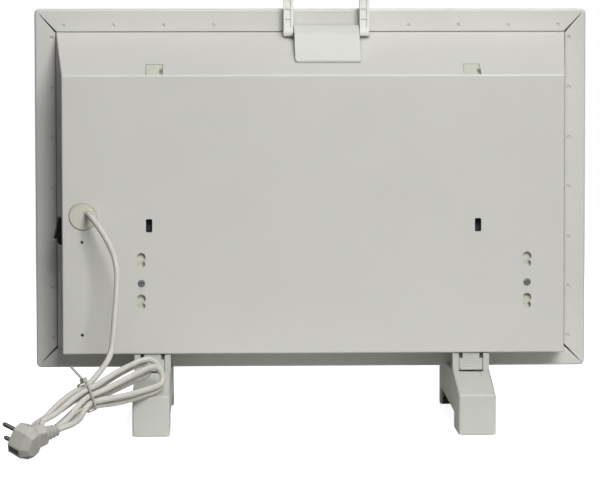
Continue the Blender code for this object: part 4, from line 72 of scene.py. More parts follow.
class Side(Enum):
    """One end of the hank, as seen from behind the heater."""

    LEFT = "left"
    RIGHT = "right"


def linear(code: str) -> tuple[float, float, float, float]:
    """Turns an sRGB hex colour into a linear one with alpha.

    Args:
        code: Six hex digits, with or without a leading hash sign.

    Returns:
        Red, green, blue and alpha, each from 0 to 1.
    """
    digits = code.lstrip("#")
    parts = [int(digits[i : i + 2], 16) / 255 for i in (0, 2, 4)]
    red, green, blue = (c / 12.92 if c <= 0.04045 else ((c + 0.055) / 1.055) ** 2.4 for c in parts)
    return red, green, blue, 1.0


def per_metre(size_mm: float) -> float:
    """The texture scale at which one cell of a pattern is the given size in millimetres.

    Args:
        size_mm: The real size of one cell.

    Returns:
        Cells per metre, which object coordinates in metres need.
    """
    return 1.0 / (size_mm * MM)


def add_node(
    tree: bpy.types.NodeTree,
    kind: str,
    settings: dict[str, object] | None = None,
    numbered: dict[int, object] | None = None,
    **named: object,
) -> bpy.types.Node:
    """Adds a node with its settings, its socket values and its links.

    Args:
        tree: The node tree that gets the node.
        kind: The node's type name.
        settings: Properties of the node itself.
        numbered: Inputs by number, each with a value or an output to link.
        **named: The same by name, with underscores for blanks.

    Returns:
        The new node.
    """
    node = tree.nodes.new(kind)
    for name, value in (settings or {}).items():
        setattr(node, name, value)
    by_name = {name.replace("_", " "): value for name, value in named.items()}
    for key, value in {**by_name, **(numbered or {})}.items():
        socket = node.inputs[key]
        if isinstance(value, bpy.types.NodeSocket):
            tree.links.new(value, socket)
        else:
            socket.default_value = value
    return node


def facing(place: tuple[float, float, float], look: Vector) -> Matrix:
    """The matrix of a camera or lamp that stands at a place and looks along a direction.

    Args:
        place: Where it stands.
        look: Where it looks.

    Returns:
        Its matrix in the world.
    """
    return Matrix.Translation(place) @ look.to_track_quat("-Z", "Y").to_matrix().to_4x4()


@dataclass(frozen=True)
class Finish:
    """A finish: what it is called, its colour, and how it takes the light.

    Attributes:
        name: The material's name.
        colour: Its main colour, as sRGB hex.
        shade: The colour of its slightly darker places, as sRGB hex.
        roughness: How matt it is.
        metallic: 1 for bare metal, else 0.
        ior: Index of refraction; metals keep the default.
        gloss: Specular level: 0.5 is what the index gives, and a dry eroded skin has less.
        corner_shade: How much painted shade darkens the deepest corners, from 0 to 1.
        corner_shade_mm: How wide a corner or a hollow still gets that painted shade.
        mottle_mm: The size of the soft patches between colour and shade.
        grain_mm: The size of one cell of the surface's texture.
        grain_depth_mm: How deep that texture is.
        edge_mm: The radius that sharp edges get in the shading.
        cloudy_mm: How far light spreads inside it before it comes out, or zero.
        relief: How the surface was made.
    """

    name: str
    colour: str
    shade: str
    roughness: float
    metallic: float = 0.0
    ior: float = 1.5
    gloss: float = 0.5
    # By default, painted shade darkens a finish's corners and hollows up to 2.5 mm wide.
    corner_shade: float = 0.45
    corner_shade_mm: float = 2.5
    mottle_mm: float = 45.0
    grain_mm: float = 1.2
    grain_depth_mm: float = 0.01
    edge_mm: float = 0.3
    cloudy_mm: float = 0.0
    relief: Relief = Relief.SPARK_ERODED

    # The share of light that a cloudy plastic lets in, and how far each colour of it gets.
    CLOUDY_SHARE: ClassVar[float] = 0.5
    CLOUDY_REACH: ClassVar[tuple[float, float, float]] = (1.0, 0.9, 0.7)
    # The noise at which a patch starts and is full, and how much of the shade it then has.
    PATCH_SPAN: ClassVar[tuple[float, float]] = (0.35, 0.70)
    PATCH_MOST: ClassVar[float] = 0.55
    # The share of open air over a point at which the painted corner shade is full, and at which
    # there is none.
    HOLLOW_SPAN: ClassVar[tuple[float, float]] = (0.15, 0.85)
    # Smears of handling: how many go to a patch, the noise at which they start and are full, and
    # what they make of the roughness.
    SMEARS_PER_PATCH: ClassVar[int] = 3
    SMEAR_SPAN: ClassVar[tuple[float, float]] = (0.3, 0.7)
    SMEAR_CHANGE: ClassVar[tuple[float, float]] = (0.90, 1.12)
    RELIEF_STRENGTH: ClassVar[float] = 0.6

    def build(self) -> bpy.types.Material:
        """Makes the material.

        Returns:
            The finished material.
        """
        material = bpy.data.materials.new(self.name)
        material.use_nodes = True
        tree = material.node_tree
        shader = tree.nodes["Principled BSDF"]
        steady: dict[str, object] = {"Metallic": self.metallic}
        if not self.metallic:
            steady |= {"IOR": self.ior, "Specular IOR Level": self.gloss}
        if self.cloudy_mm:
            steady |= {
                "Subsurface Weight": self.CLOUDY_SHARE,
                "Subsurface Radius": self.CLOUDY_REACH,
                "Subsurface Scale": self.cloudy_mm * MM,
            }
        for name, value in steady.items():
            shader.inputs[name].default_value = value
        place = add_node(tree, "ShaderNodeTexCoord").outputs["Object"]
        self.colour_surface(tree, shader, place)
        self.roughen_surface(tree, shader, place)
        tree.links.new(self.raise_surface(tree, place), shader.inputs["Normal"])
        return material

    def colour_surface(
        self, tree: bpy.types.NodeTree, shader: bpy.types.Node, place: bpy.types.NodeSocket
    ) -> None:
        """Colours the surface in soft patches, with painted shade that darkens it in corners and
        hollows.

        Args:
            tree: The material's node tree.
            shader: Its Principled node.
            place: Object coordinates.
        """
        mottle = add_node(
            tree,
            "ShaderNodeTexNoise",
            Vector=place,
            Scale=per_metre(self.mottle_mm),
            Detail=4.0,
            Roughness=0.6,
        )
        patches = add_node(
            tree,
            "ShaderNodeMapRange",
            SMOOTHSTEP,
            Value=mottle.outputs["Fac"],
            From_Min=self.PATCH_SPAN[0],
            From_Max=self.PATCH_SPAN[1],
            To_Min=0.0,
            To_Max=self.PATCH_MOST,
        )
        tones = {MIX_FIRST: linear(self.colour), MIX_SECOND: linear(self.shade)}
        clean = add_node(tree, "ShaderNodeMix", COLOURS, tones, Factor=patches.outputs["Result"])
        # Painted shade: ambient occlusion mixes the colour towards a brownish dark in corners and
        # hollows.
        hollow = add_node(
            tree, "ShaderNodeAmbientOcclusion", {"samples": 6}, Distance=self.corner_shade_mm * MM
        )
        shade_share = add_node(
            tree,
            "ShaderNodeMapRange",
            SMOOTHSTEP,
            Value=hollow.outputs["AO"],
            From_Min=self.HOLLOW_SPAN[0],
            From_Max=self.HOLLOW_SPAN[1],
            To_Min=self.corner_shade,
            To_Max=0.0,
        )
        tones = {MIX_FIRST: clean.outputs[MIX_RESULT], MIX_SECOND: linear(CORNER_SHADE_COLOUR)}
        shaded = add_node(tree, "ShaderNodeMix", COLOURS, tones, Factor=shade_share.outputs["Result"])
        tree.links.new(shaded.outputs[MIX_RESULT], shader.inputs["Base Color"])

    def roughen_surface(
        self, tree: bpy.types.NodeTree, shader: bpy.types.Node, place: bpy.types.NodeSocket
    ) -> None:
        """Varies the gloss a little, as handling and moulding do.

        Args:
            tree: The material's node tree.
            shader: Its Principled node.
            place: Object coordinates.
        """
        smear = add_node(
            tree,
            "ShaderNodeTexNoise",
            Vector=place,
            Scale=per_metre(self.mottle_mm / self.SMEARS_PER_PATCH),
            Detail=3.0,
        )
        spread = add_node(
            tree,
            "ShaderNodeMapRange",
            Value=smear.outputs["Fac"],
            From_Min=self.SMEAR_SPAN[0],
            From_Max=self.SMEAR_SPAN[1],
            To_Min=self.roughness * self.SMEAR_CHANGE[0],
            To_Max=min(1.0, self.roughness * self.SMEAR_CHANGE[1]),
        )
        tree.links.new(spread.outputs["Result"], shader.inputs["Roughness"])

    def raise_surface(
        self, tree: bpy.types.NodeTree, place: bpy.types.NodeSocket
    ) -> bpy.types.NodeSocket:
        """Gives the surface its texture, with softened edges under it.

        Args:
            tree: The material's node tree.
            place: Object coordinates.

        Returns:
            The normal that the shader takes.
        """
        bevel = add_node(tree, "ShaderNodeBevel", {"samples": 4}, Radius=self.edge_mm * MM)
        edge = bevel.outputs["Normal"]
        if self.relief is Relief.POLISHED:
            return edge
        bump = add_node(
            tree,
            "ShaderNodeBump",
            Height=self.texture(tree, place),
            Distance=self.grain_depth_mm * MM,
            Strength=self.RELIEF_STRENGTH,
            Normal=edge,
        )
        return bump.outputs["Normal"]

    def texture(
        self, tree: bpy.types.NodeTree, place: bpy.types.NodeSocket
    ) -> bpy.types.NodeSocket:
        """The height of the baked or moulded skin.

        Args:
            tree: The material's node tree.
            place: Object coordinates.

        Returns:
            The height that the bump takes.
        """
        scale = per_metre(self.grain_mm)
        if self.relief is Relief.ORANGE_PEEL:
            peel = add_node(
                tree, "ShaderNodeTexNoise", Vector=place, Scale=scale, Detail=1.0, Roughness=0.4
            )
            return peel.outputs["Fac"]
        pits = add_node(
            tree,
            "ShaderNodeTexVoronoi",
            {"feature": "SMOOTH_F1"},
            Vector=place,
            Scale=scale,
            Smoothness=0.6,
        )
        return pits.outputs["Distance"]


@dataclass(frozen=True)
class DrawnMetal(Finish):
    """Bare metal with fine lines along one direction, left by drawing or rolling.

    Attributes:
        line_mm: The distance between two lines.
        line_axis: The axis that they run along: 0 for X, 1 for Y, 2 for Z.
    """

    line_mm: float = 0.35
    line_axis: int = 0

    # How many times longer than its width a line is.
    LINE_STRETCH: ClassVar[int] = 60
    RELIEF_STRENGTH: ClassVar[float] = 0.5

    def texture(
        self, tree: bpy.types.NodeTree, place: bpy.types.NodeSocket
    ) -> bpy.types.NodeSocket:
        """The height of long fine lines.

        Args:
            tree: The material's node tree.
            place: Object coordinates.

        Returns:
            The height that the bump takes.
        """
        scales = [per_metre(self.line_mm)] * 3
        scales[self.line_axis] = per_metre(self.line_mm * self.LINE_STRETCH)
        stretch = add_node(tree, "ShaderNodeMapping", Vector=place, Scale=scales)
        lines = add_node(
            tree, "ShaderNodeTexNoise", Vector=stretch.outputs["Vector"], Scale=1.0, Detail=2.0
        )
        return lines.outputs["Fac"]


# Epoxy-polyester powder baked on steel sheet: satin, with a very shallow orange peel.
POWDER_COAT = Finish(
    name="White epoxy-polyester powder coat",
    colour="#CCCBC6",
    shade="#C6C5BF",
    roughness=0.42,
    mottle_mm=160.0,
    grain_mm=2.2,
    grain_depth_mm=0.012,
    edge_mm=0.5,
    relief=Relief.ORANGE_PEEL,
    # Painted shade 9 mm wide darkens the coat in its corners, most where the flange meets the
    # cover's wall.
    corner_shade=0.60,
    corner_shade_mm=9.0,
)
# ABS moulded in a mould with a fine spark-eroded skin: the handle, a clean satin white.
WHITE_ABS = Finish(
    name="White moulded ABS",
    colour="#E8E9E4",
    shade="#E1E2DC",
    roughness=0.36,
    ior=1.54,
    mottle_mm=60.0,
    grain_mm=0.9,
    grain_depth_mm=0.008,
    edge_mm=0.6,
)
# Moulded ABS for the handle's bracket: satin too, and a shade darker than the handle.
BRACKET_ABS = Finish(
    name="Soft white moulded ABS",
    colour="#D2D3CE",
    shade="#CBCCC6",
    roughness=0.40,
    ior=1.54,
    mottle_mm=70.0,
    grain_mm=0.9,
    grain_depth_mm=0.008,
    edge_mm=0.8,
)
# The feet are moulded polypropylene, duller and a little greener than the handle.
FOOT_POLYPROPYLENE = Finish(
    name="Off-white moulded polypropylene",
    colour="#C0C1BB",
    shade="#B9BAB3",
    roughness=0.46,
    ior=1.49,
    mottle_mm=50.0,
    grain_mm=0.9,
    grain_depth_mm=0.012,
    edge_mm=0.9,
)
# Moulded polyamide takes up moisture and yellows: the gland looks creamy.
CREAM_POLYAMIDE = Finish(
    name="Cream moulded polyamide",
    colour="#CFCCC1",
    shade="#C6C2B5",
    roughness=0.45,
    ior=1.53,
    mottle_mm=14.0,
    grain_mm=0.7,
    grain_depth_mm=0.008,
    edge_mm=1.1,
    corner_shade=0.15,
    cloudy_mm=1.0,
)
# The cups are moulded of undyed polyamide: paler, a little green, as light gets into it.
NATURAL_POLYAMIDE = Finish(
    name="Natural moulded polyamide",
    colour="#D6D7CA",
    shade="#CACBBC",
    roughness=0.42,
    ior=1.53,
    mottle_mm=12.0,
    grain_mm=0.7,
    grain_depth_mm=0.008,
    edge_mm=0.4,
    corner_shade=0.15,
    cloudy_mm=2.5,
)
# The catches behind the slope are the same plastic in a greyer, darker copy that paints the shade
# they stand in.
SHADED_POLYAMIDE = Finish(
    name="Shaded natural polyamide",
    colour="#C9CABE",
    shade="#BEBFB1",
    roughness=0.50,
    ior=1.53,
    mottle_mm=9.0,
    grain_mm=0.7,
    grain_depth_mm=0.008,
    edge_mm=0.6,
    # Strong painted shade darkens the catches' corners and mouths.
    corner_shade=0.60,
    corner_shade_mm=3.5,
    cloudy_mm=2.0,
)
# Flexible PVC, extruded over the lead's cores: smooth, slightly soft in its highlights.
PVC_SHEATH = Finish(
    name="Warm white flexible PVC",
    colour="#CAC8C2",
    shade="#BFBDB6",
    roughness=0.50,
    ior=1.53,
    gloss=0.30,
    cloudy_mm=3.0,
    mottle_mm=25.0,
    grain_mm=0.5,
    grain_depth_mm=0.006,
    edge_mm=0.2,
)
# The plug is over-moulded in a harder PVC, a little greyer than the sheath.
PLUG_PVC = Finish(
    name="Pale grey over-moulded PVC",
    colour="#B6B4AE",
    shade="#A9A7A0",
    roughness=0.38,
    ior=1.53,
    mottle_mm=12.0,
    grain_mm=0.6,
    grain_depth_mm=0.008,
    edge_mm=0.5,
)
# Grey polyamide of a cable tie, moulded in a polished mould, so a little shiny.
TIE_POLYAMIDE = Finish(
    name="Grey moulded cable tie",
    colour="#A8A7A2",
    shade="#979791",
    roughness=0.30,
    ior=1.53,
    mottle_mm=6.0,
    edge_mm=0.3,
    relief=Relief.POLISHED,
)
# Glass-filled polyamide, moulded deep black: the rocker and its housing, nearly gloss-free.
BLACK_POLYAMIDE = Finish(
    name="Black moulded polyamide",
    colour="#080807",
    shade="#0D0D0C",
    roughness=0.55,
    gloss=0.08,
    mottle_mm=8.0,
    grain_mm=0.5,
    grain_depth_mm=0.010,
    edge_mm=0.4,
)
# Filled plastic that stands heat, moulded dark grey: the grille, matt so that it recedes.
GRILLE_PLASTIC = Finish(
    name="Dark grey heat-proof plastic",
    colour="#45464A",
    shade="#3B3C3F",
    roughness=0.55,
    mottle_mm=30.0,
    grain_mm=0.8,
    grain_depth_mm=0.012,
    edge_mm=0.4,
)
# Terminal block, clamp and thermostat case: grey phenolic moulding, dry and dull.
GREY_PHENOLIC = Finish(
    name="Grey phenolic moulding",
    colour="#8B8B86",
    shade="#7A7A75",
    roughness=0.60,
    ior=1.6,
    mottle_mm=6.0,
    grain_mm=0.6,
    grain_depth_mm=0.015,
    edge_mm=0.3,
)
# Pads that grip the floor: grey thermoplastic rubber with a fine matt skin.
GREY_RUBBER = Finish(
    name="Grey thermoplastic rubber",
    colour="#5A5956",
    shade="#4E4D4A",
    roughness=0.80,
    ior=1.45,
    mottle_mm=9.0,
    grain_mm=0.6,
    grain_depth_mm=0.02,
    edge_mm=0.5,
)
# Steatite insulators: fired, off-white and faintly glazed.
STEATITE = Finish(
    name="Glazed steatite",
    colour="#E8E2D3",
    shade="#DAD2BF",
    roughness=0.25,
    ior=1.58,
    mottle_mm=5.0,
    edge_mm=0.6,
    relief=Relief.POLISHED,
)
# Silicone insulation on the inner wires: matt and slightly rubbery.
WIRE_SILICONE = Finish(
    name="Ivory silicone insulation",
    colour="#D8D0BB",
    shade="#C9BFA6",
    roughness=0.55,
    ior=1.41,
    mottle_mm=12.0,
    grain_mm=0.4,
    grain_depth_mm=0.005,
    edge_mm=0.1,
)
# Zinc-plated steel: pins, tabs, brackets and the dial's spindle, bluish with drawn lines.
ZINC_STEEL = DrawnMetal(
    name="Zinc-plated steel",
    colour="#B9BABA",
    shade="#A3A4A3",
    roughness=0.34,
    metallic=1.0,
    mottle_mm=4.0,
    grain_depth_mm=0.006,
    edge_mm=0.25,
)
# Zinc with a dark passivation: the screws in the cups, turned and then barrel-plated.
BLACKED_ZINC = DrawnMetal(
    name="Dark passivated zinc",
    colour="#8E9092",
    shade="#6A6C6E",
    roughness=0.32,
    metallic=1.0,
    # Full painted shade darkens each head's cross recess and the ring around the head.
    corner_shade=1.0,
    corner_shade_mm=3.2,
    mottle_mm=3.0,
    grain_depth_mm=0.008,
    edge_mm=0.2,
    line_mm=0.5,
)
# Nickel on brass: the plug's pins and earth clips get a dark, slightly warm colour that paints the
# dark room they reflect.
NICKEL_BRASS = DrawnMetal(
    name="Nickel-plated brass",
    colour="#6E6B66",
    shade="#57544F",
    roughness=0.30,
    metallic=1.0,
    mottle_mm=5.0,
    grain_depth_mm=0.003,
    edge_mm=0.3,
    line_axis=1,
)
# Mill-finish aluminium: the heating element, bright, with the fine lines of the rolls.
MILL_ALUMINIUM = DrawnMetal(
    name="Mill-finish aluminium",
    colour="#C9CBCC",
    shade="#B4B6B7",
    roughness=0.38,
    metallic=1.0,
    mottle_mm=20.0,
    grain_depth_mm=0.010,
    edge_mm=0.2,
)
# Aluminised sheet for the air guide, rolled and dulled by heat, and coloured darker still to paint
# the deep shade it stands in behind the slots.
SHADED_SHEET = DrawnMetal(
    name="Heat-dulled, shade-darkened aluminised steel",
    colour="#55555A",
    shade="#434347",
    roughness=0.70,
    metallic=1.0,
    mottle_mm=25.0,
    grain_depth_mm=0.020,
    edge_mm=0.2,
)


@dataclass
class Dressing:
    """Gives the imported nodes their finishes.

    Attributes:
        wardrobe: Each finish with the nodes that wear it.
    """

    wardrobe: tuple[tuple[Finish, tuple[str, ...]], ...] = (
        (POWDER_COAT, ("front_panel", "back_cover")),
        (WHITE_ABS, ("carry_handle", "dial_cup", "thermostat_knob")),
        (BRACKET_ABS, ("handle_bracket",)),
        (FOOT_POLYPROPYLENE, ("foot_right", "foot_left", "foot_latch_right", "foot_latch_left")),
        (CREAM_POLYAMIDE, ("cable_gland",)),
        (NATURAL_POLYAMIDE, ("keyhole_cup_right", "keyhole_cup_left")),
        (SHADED_POLYAMIDE, ("wall_catch_right", "wall_catch_left")),
        (PVC_SHEATH, ("cord_inside_end",)),
        (PLUG_PVC, ("plug_body",)),
        (TIE_POLYAMIDE, ("cord_tie",)),
        (BLACK_POLYAMIDE, ("switch_housing", "switch_rocker", "thermal_cutout")),
        (GRILLE_PLASTIC, ("outlet_grille",)),
        (GREY_PHENOLIC, ("terminal_block", "cord_clamp", "thermostat_body")),
        (
            GREY_RUBBER,
            (
                "foot_pad_right_front",
                "foot_pad_right_rear",
                "foot_pad_left_front",
                "foot_pad_left_rear",
            ),
        ),
        (STEATITE, ("element_insulator_right", "element_insulator_left")),
        (
            WIRE_SILICONE,
            (
                "wire_to_switch",
                "wire_to_thermostat",
                "wire_to_element",
                "wire_to_cutout",
                "wire_across",
            ),
        ),
        (
            ZINC_STEEL,
            (
                "handle_pin_right",
                "handle_pin_left",
                "switch_tab_1",
                "switch_tab_2",
                "switch_tab_3",
                "element_bracket_right",
                "element_bracket_left",
                "thermostat_spindle",
            ),
        ),
        (BLACKED_ZINC, ("cup_screw_right", "cup_screw_left")),
        (
            NICKEL_BRASS,
            ("plug_pin_upper", "plug_pin_lower", "plug_earth_clip_far", "plug_earth_clip_near"),
        ),
        (MILL_ALUMINIUM, ("heating_element",)),
        (SHADED_SHEET, ("air_guide",)),
    )

    def build(self) -> dict[str, bpy.types.Material]:
        """Dresses every node.

        Returns:
            The materials by the name of their finish.
        """
        made = {}
        for finish, names in self.wardrobe:
            material = finish.build()
            made[finish.name] = material
            for name in names:
                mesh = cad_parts[name].data
                mesh.materials.clear()
                mesh.materials.append(material)
            LOG.info("%s on %s", finish.name, ", ".join(names))
        return made


@dataclass
class PhotoCamera:
    """The camera at the photograph's viewing angle.

    Attributes:
        place: Where it stands, in metres.
        yaw: Degrees that it turns from straight along -Y towards -X.
        pitch: Degrees that it looks down.
        roll: Degrees that it leans.
        focal_px: Its focal length in pixels of the photograph.
        rise: How far its frame is shifted, as a share of the image's width.
        sensor_mm: The sensor's width.
        reach: How far it sees, in metres.
    """

    place: tuple[float, float, float] = (0.0988, 2.96725, 0.4259)
    yaw: float = 1.6522
    pitch: float = 3.0843
    roll: float = -0.0879
    focal_px: float = 2701.7
    rise: float = -0.10
    sensor_mm: float = 36.0
    reach: float = 100.0

    def build(self) -> None:
        """Makes the camera and gives it to the scene."""
        data = bpy.data.cameras.new("photo_camera")
        data.sensor_fit = "HORIZONTAL"
        data.sensor_width = self.sensor_mm
        data.lens = self.focal_px / IMAGE_WIDTH * self.sensor_mm
        data.shift_y = self.rise
        data.clip_end = self.reach
        camera = bpy.data.objects.new("photo_camera", data)
        yaw, pitch = math.radians(self.yaw), math.radians(self.pitch)
        look = Vector(
            (-math.sin(yaw) * math.cos(pitch), -math.cos(yaw) * math.cos(pitch), -math.sin(pitch))
        )
        lean = Matrix.Rotation(math.radians(self.roll), 4, "Z")
        camera.matrix_world = facing(self.place, look) @ lean
        bpy.context.scene.collection.objects.link(camera)
        bpy.context.scene.camera = camera
        LOG.info("camera at %s", self.place)


@dataclass(frozen=True)
class HankPass:
    """One pass of the cord through the hank, from one end to the other.

    Attributes:
        heads: The end that the cord runs to.
        column: Its place across the hank at the tie, in cord pitches.
        row: Its layer at the tie, in cord pitches.
        left_side: Its place across the hank at the left end, in radii of that end's fold.
        left_layer: Its layer at the left end, in cord pitches.
        right_side: The same as left_side for the right end.
        right_layer: The same as left_layer for the right end.
    """

    heads: Side
    column: float
    row: float
    left_side: float
    left_layer: float
    right_side: float
    right_layer: float

    def at(self, end: Side) -> tuple[float, float]:
        """Its place across the hank and its layer at one end.

        Args:
            end: The end that is meant.

        Returns:
            The place in fold radii and the layer in cord pitches.
        """
        if end is Side.LEFT:
            return self.left_side, self.left_layer
        return self.right_side, self.right_layer


@dataclass
class MainsLead:
    """The mains lead: from its gland down to a hank of seven passes, tied, and on to the plug.

    Lengths are in metres, angles in degrees and directions have any length.

    Attributes:
        diameter: The sheath's outer diameter.
        length: The whole length, from the exit to the end in the plug; not used.
        exit: Where it leaves the gland, straight back along +Y.
        route: The free lead's points after that, which are the ones that its solid follows.
        hank_centre: The middle of the hank, where the tie is.
        heading: Which way the hank runs to its right end, counted from +X towards +Y.
        rise: How much its right end points up.
        lean: How much its upper side leans towards the heater.
        left_run: The straight part from the tie to the left end.
        right_run: The same for the right end.
        left_fold: The radius of a fold at the left end.
        right_fold: The same for the right end.
        droop: How far the left end hangs down.
        strand_gap: The air between two passes that lie side by side.
        start: How far right of the tie the free lead comes into the first pass.
        tail_share: The share of the left run at which the last pass leaves the hank.
        tail_handle: How far the tail keeps its two directions, which sets how wide it bends.
        run_shares: The places along a run that get a point, as shares of it.
        fold_steps: The parts of a fold's half turn.
        tail_steps: The parts of the tail.
        passes: The passes in the order that the cord makes them.
        plug_centre: The middle of the plug's body.
        plug_pins: The way that the plug's pins point.
        plug_cord: The way that its cord leaves it, roughly.
        neck_lean: How much the plug's neck leans away from its pins.
        relief_reach: From the plug's middle to where the cord goes into its strain relief.
        plug_and_tie: The nodes on the lead; not used.
        points_per_diameter: The points of the finished curve on one diameter of length.
        rings: How finely the sheath is rounded.
    """

    diameter: float = 0.0062
    length: float = 1.46
    exit: tuple[float, float, float] = (0.2426, 0.0621, 0.2319)
    route: tuple[tuple[float, float, float], ...] = (
        (0.2403, 0.0770, 0.2306),
        (0.2375, 0.0850, 0.2277),
        (0.2307, 0.0950, 0.2204),
        (0.2214, 0.1050, 0.2069),
        (0.2132, 0.1140, 0.1899),
        (0.2100, 0.1220, 0.1730),
        (0.2105, 0.1310, 0.1491),
        (0.2122, 0.1400, 0.1254),
        (0.2153, 0.1510, 0.0951),
        (0.2200, 0.1585, 0.0832),
    )
    hank_centre: tuple[float, float, float] = (0.2391, 0.1884, 0.0506)
    heading: float = 225.8
    rise: float = 9.4
    lean: float = 20.0
    left_run: float = 0.0620
    right_run: float = 0.0915
    left_fold: float = 0.0068
    right_fold: float = 0.0165
    droop: float = 0.0150
    strand_gap: float = 0.00095
    start: float = 0.0090
    tail_share: float = 0.35
    tail_handle: float = 0.014
    run_shares: tuple[float, ...] = (0.16, 0.34, 0.54, 0.77, 1.0)
    fold_steps: int = 6
    tail_steps: int = 6
    passes: tuple[HankPass, ...] = (
        HankPass(Side.LEFT, 1.5, -0.5, 1, -1, 1, -1),
        HankPass(Side.RIGHT, -0.5, -0.5, -1, -1, 0, -1),
        HankPass(Side.LEFT, 0.5, -0.5, 1, 0, 0.85, -1),
        HankPass(Side.RIGHT, -1.5, -0.5, -1, 0, -1.1, 0),
        HankPass(Side.LEFT, 1.0, 0.5, 1, 1, 1, 0),
        HankPass(Side.RIGHT, 0.0, 0.5, -1, 1, 0.4, 1),
        HankPass(Side.LEFT, -1.0, 0.5, -1.6, 3, -0.85, 1),
    )
    plug_centre: tuple[float, float, float] = (0.2962, 0.2810, 0.0195)
    plug_pins: tuple[float, float, float] = (0.8232, -0.4584, 0.3356)
    plug_cord: tuple[float, float, float] = (-0.5678, -0.6479, 0.5078)
    neck_lean: float = 30.0
    relief_reach: float = 0.0355
    plug_and_tie: tuple[str, ...] = (
        "cord_tie",
        "plug_body",
        "plug_pin_upper",
        "plug_pin_lower",
        "plug_earth_clip_far",
        "plug_earth_clip_near",
    )
    points_per_diameter: int = 3
    rings: int = 6

    @property
    def pitch(self) -> float:
        """The distance between two passes that lie side by side."""
        return self.diameter + self.strand_gap

    def reach(self, end: Side) -> tuple[float, float]:
        """The length of the runs to one end, and the radius of its folds.

        Args:
            end: The end that is meant.

        Returns:
            The length and the radius.
        """
        if end is Side.LEFT:
            return self.left_run, self.left_fold
        return self.right_run, self.right_fold

    def axes(self) -> tuple[Vector, Vector, Vector]:
        """The hank's directions.

        Returns:
            Along it to its right end, up across it, and out of it.
        """
        turn, rise, lean = (math.radians(a) for a in (self.heading, self.rise, self.lean))
        heading = Vector((math.cos(turn), math.sin(turn), 0))
        along = heading * math.cos(rise) + Vector((0, 0, math.sin(rise)))
        front = Vector((heading.y, -heading.x, 0))
        upright = front.cross(along)
        across = upright * math.cos(lean) - front * math.sin(lean)
        out = front * math.cos(lean) + upright * math.sin(lean)
        return along, across, out

    def hank_point(self, along: float, across: float, out: float) -> Vector:
        """A point of the hank, with the left end's droop.

        Args:
            along: Distance towards the right end.
            across: Distance up across the hank.
            out: Distance out of the hank's plane.

        Returns:
            The point in the world.
        """
        u, v, w = self.axes()
        # The droop starts level at the tie, and is full and level again at the left end.
        share = min(max(-along / self.left_run, 0.0), 1.0)
        droop = self.droop * share**1.5 * (5 - 3 * share) / 2
        return Vector(self.hank_centre) + u * along + v * across + w * out - Vector((0, 0, droop))

    def strand_point(self, strand: HankPass, along: float) -> Vector:
        """Where one pass of the hank runs.

        Args:
            strand: The pass.
            along: Distance from the tie, towards the right end.

        Returns:
            The point in the world.
        """
        end = Side.LEFT if along < 0 else Side.RIGHT
        run, fold = self.reach(end)
        side, layer = strand.at(end)
        # It goes over from its place at the tie to its place at the end in one smooth step.
        share = abs(along) / run
        eased = share**2 * (3 - 2 * share)
        turn = eased * math.pi / 2
        # Passes that cross the hank at a slant need more room across it to stay a pitch apart.
        slant = 6 * share * (1 - share) * fold / run
        spread = math.cos(turn) * math.hypot(1, slant)
        across = strand.column * self.pitch * spread + side * fold * eased
        out = self.pitch * (strand.row * math.cos(turn) + layer * math.sin(turn))
        return self.hank_point(along, across, out)

    def fold_points(
        self, side_from: float, side_to: float, layer: float, end: Side
    ) -> list[Vector]:
        """The half turn at one end of the hank.

        Args:
            side_from: Where it starts across the hank, in fold radii.
            side_to: Where it ends across the hank, in fold radii.
            layer: The layer that it lies in.
            end: The end that it is at.

        Returns:
            The points between the two runs.
        """
        run, fold = self.reach(end)
        outward = 1 if end is Side.RIGHT else -1
        middle, half = fold * (side_from + side_to) / 2, fold * (side_from - side_to) / 2
        points = []
        for i in range(1, self.fold_steps):
            angle = math.pi * i / self.fold_steps
            along = outward * (run + abs(half) * math.sin(angle))
            across = middle + half * math.cos(angle)
            points.append(self.hank_point(along, across, layer * self.pitch))
        return points

    def stations(self, number: int) -> list[float]:
        """The places along one pass that get a point.

        Args:
            number: The pass's number.

        Returns:
            Distances from the tie, in the order that the cord runs.
        """
        left = [-self.left_run * share for share in reversed(self.run_shares)]
        right = [self.right_run * share for share in self.run_shares]
        places = [*left, 0.0, *right]
        if number == 0:
            places = [*left, self.start - self.diameter, self.start]
        if number == len(self.passes) - 1:
            places = [a for a in places if a > -self.left_run * self.tail_share]
        return places[::-1] if self.passes[number].heads is Side.LEFT else places

    def hank_line(self) -> list[Vector]:
        """The hank's points, from the end of the free lead to the plug.

        Returns:
            The points in order.
        """
        points: list[Vector] = []
        for number, strand in enumerate(self.passes):
            points += [self.strand_point(strand, along) for along in self.stations(number)]
            if number < len(self.passes) - 1:
                side, layer = strand.at(strand.heads)
                side_to, _ = self.passes[number + 1].at(strand.heads)
                points += self.fold_points(side, side_to, layer, strand.heads)
        return points + self.tail(points)

    def tail(self, points: list[Vector]) -> list[Vector]:
        """The stretch from the last pass into the plug's strain relief.

        Args:
            points: The hank's points so far.

        Returns:
            The points that follow them.
        """
        pins = Vector(self.plug_pins).normalized()
        cord = Vector(self.plug_cord)
        cord = (cord - pins * cord.dot(pins)).normalized()
        neck_lean = math.radians(self.neck_lean)
        cord = cord * math.cos(neck_lean) - pins * math.sin(neck_lean)
        end = Vector(self.plug_centre) + cord * self.relief_reach
        straight = end + cord * self.diameter
        last = points[-1]
        leave = last + (last - points[-2]).normalized() * self.tail_handle
        arrive = straight + cord * self.tail_handle
        tail = []
        for i in range(1, self.tail_steps + 1):
            t = i / self.tail_steps
            a, b, c = last.lerp(leave, t), leave.lerp(arrive, t), arrive.lerp(straight, t)
            tail.append(a.lerp(b, t).lerp(b.lerp(c, t), t))
        return [*tail, end]

    def whole_line(self) -> list[Vector]:
        """The whole lead's own points, from its exit to the plug.

        Returns:
            The points in order.
        """
        start = Vector(self.exit)
        first = start + Vector((0, self.diameter, 0))
        return [start, first, *(Vector(p) for p in self.route), *self.hank_line()]

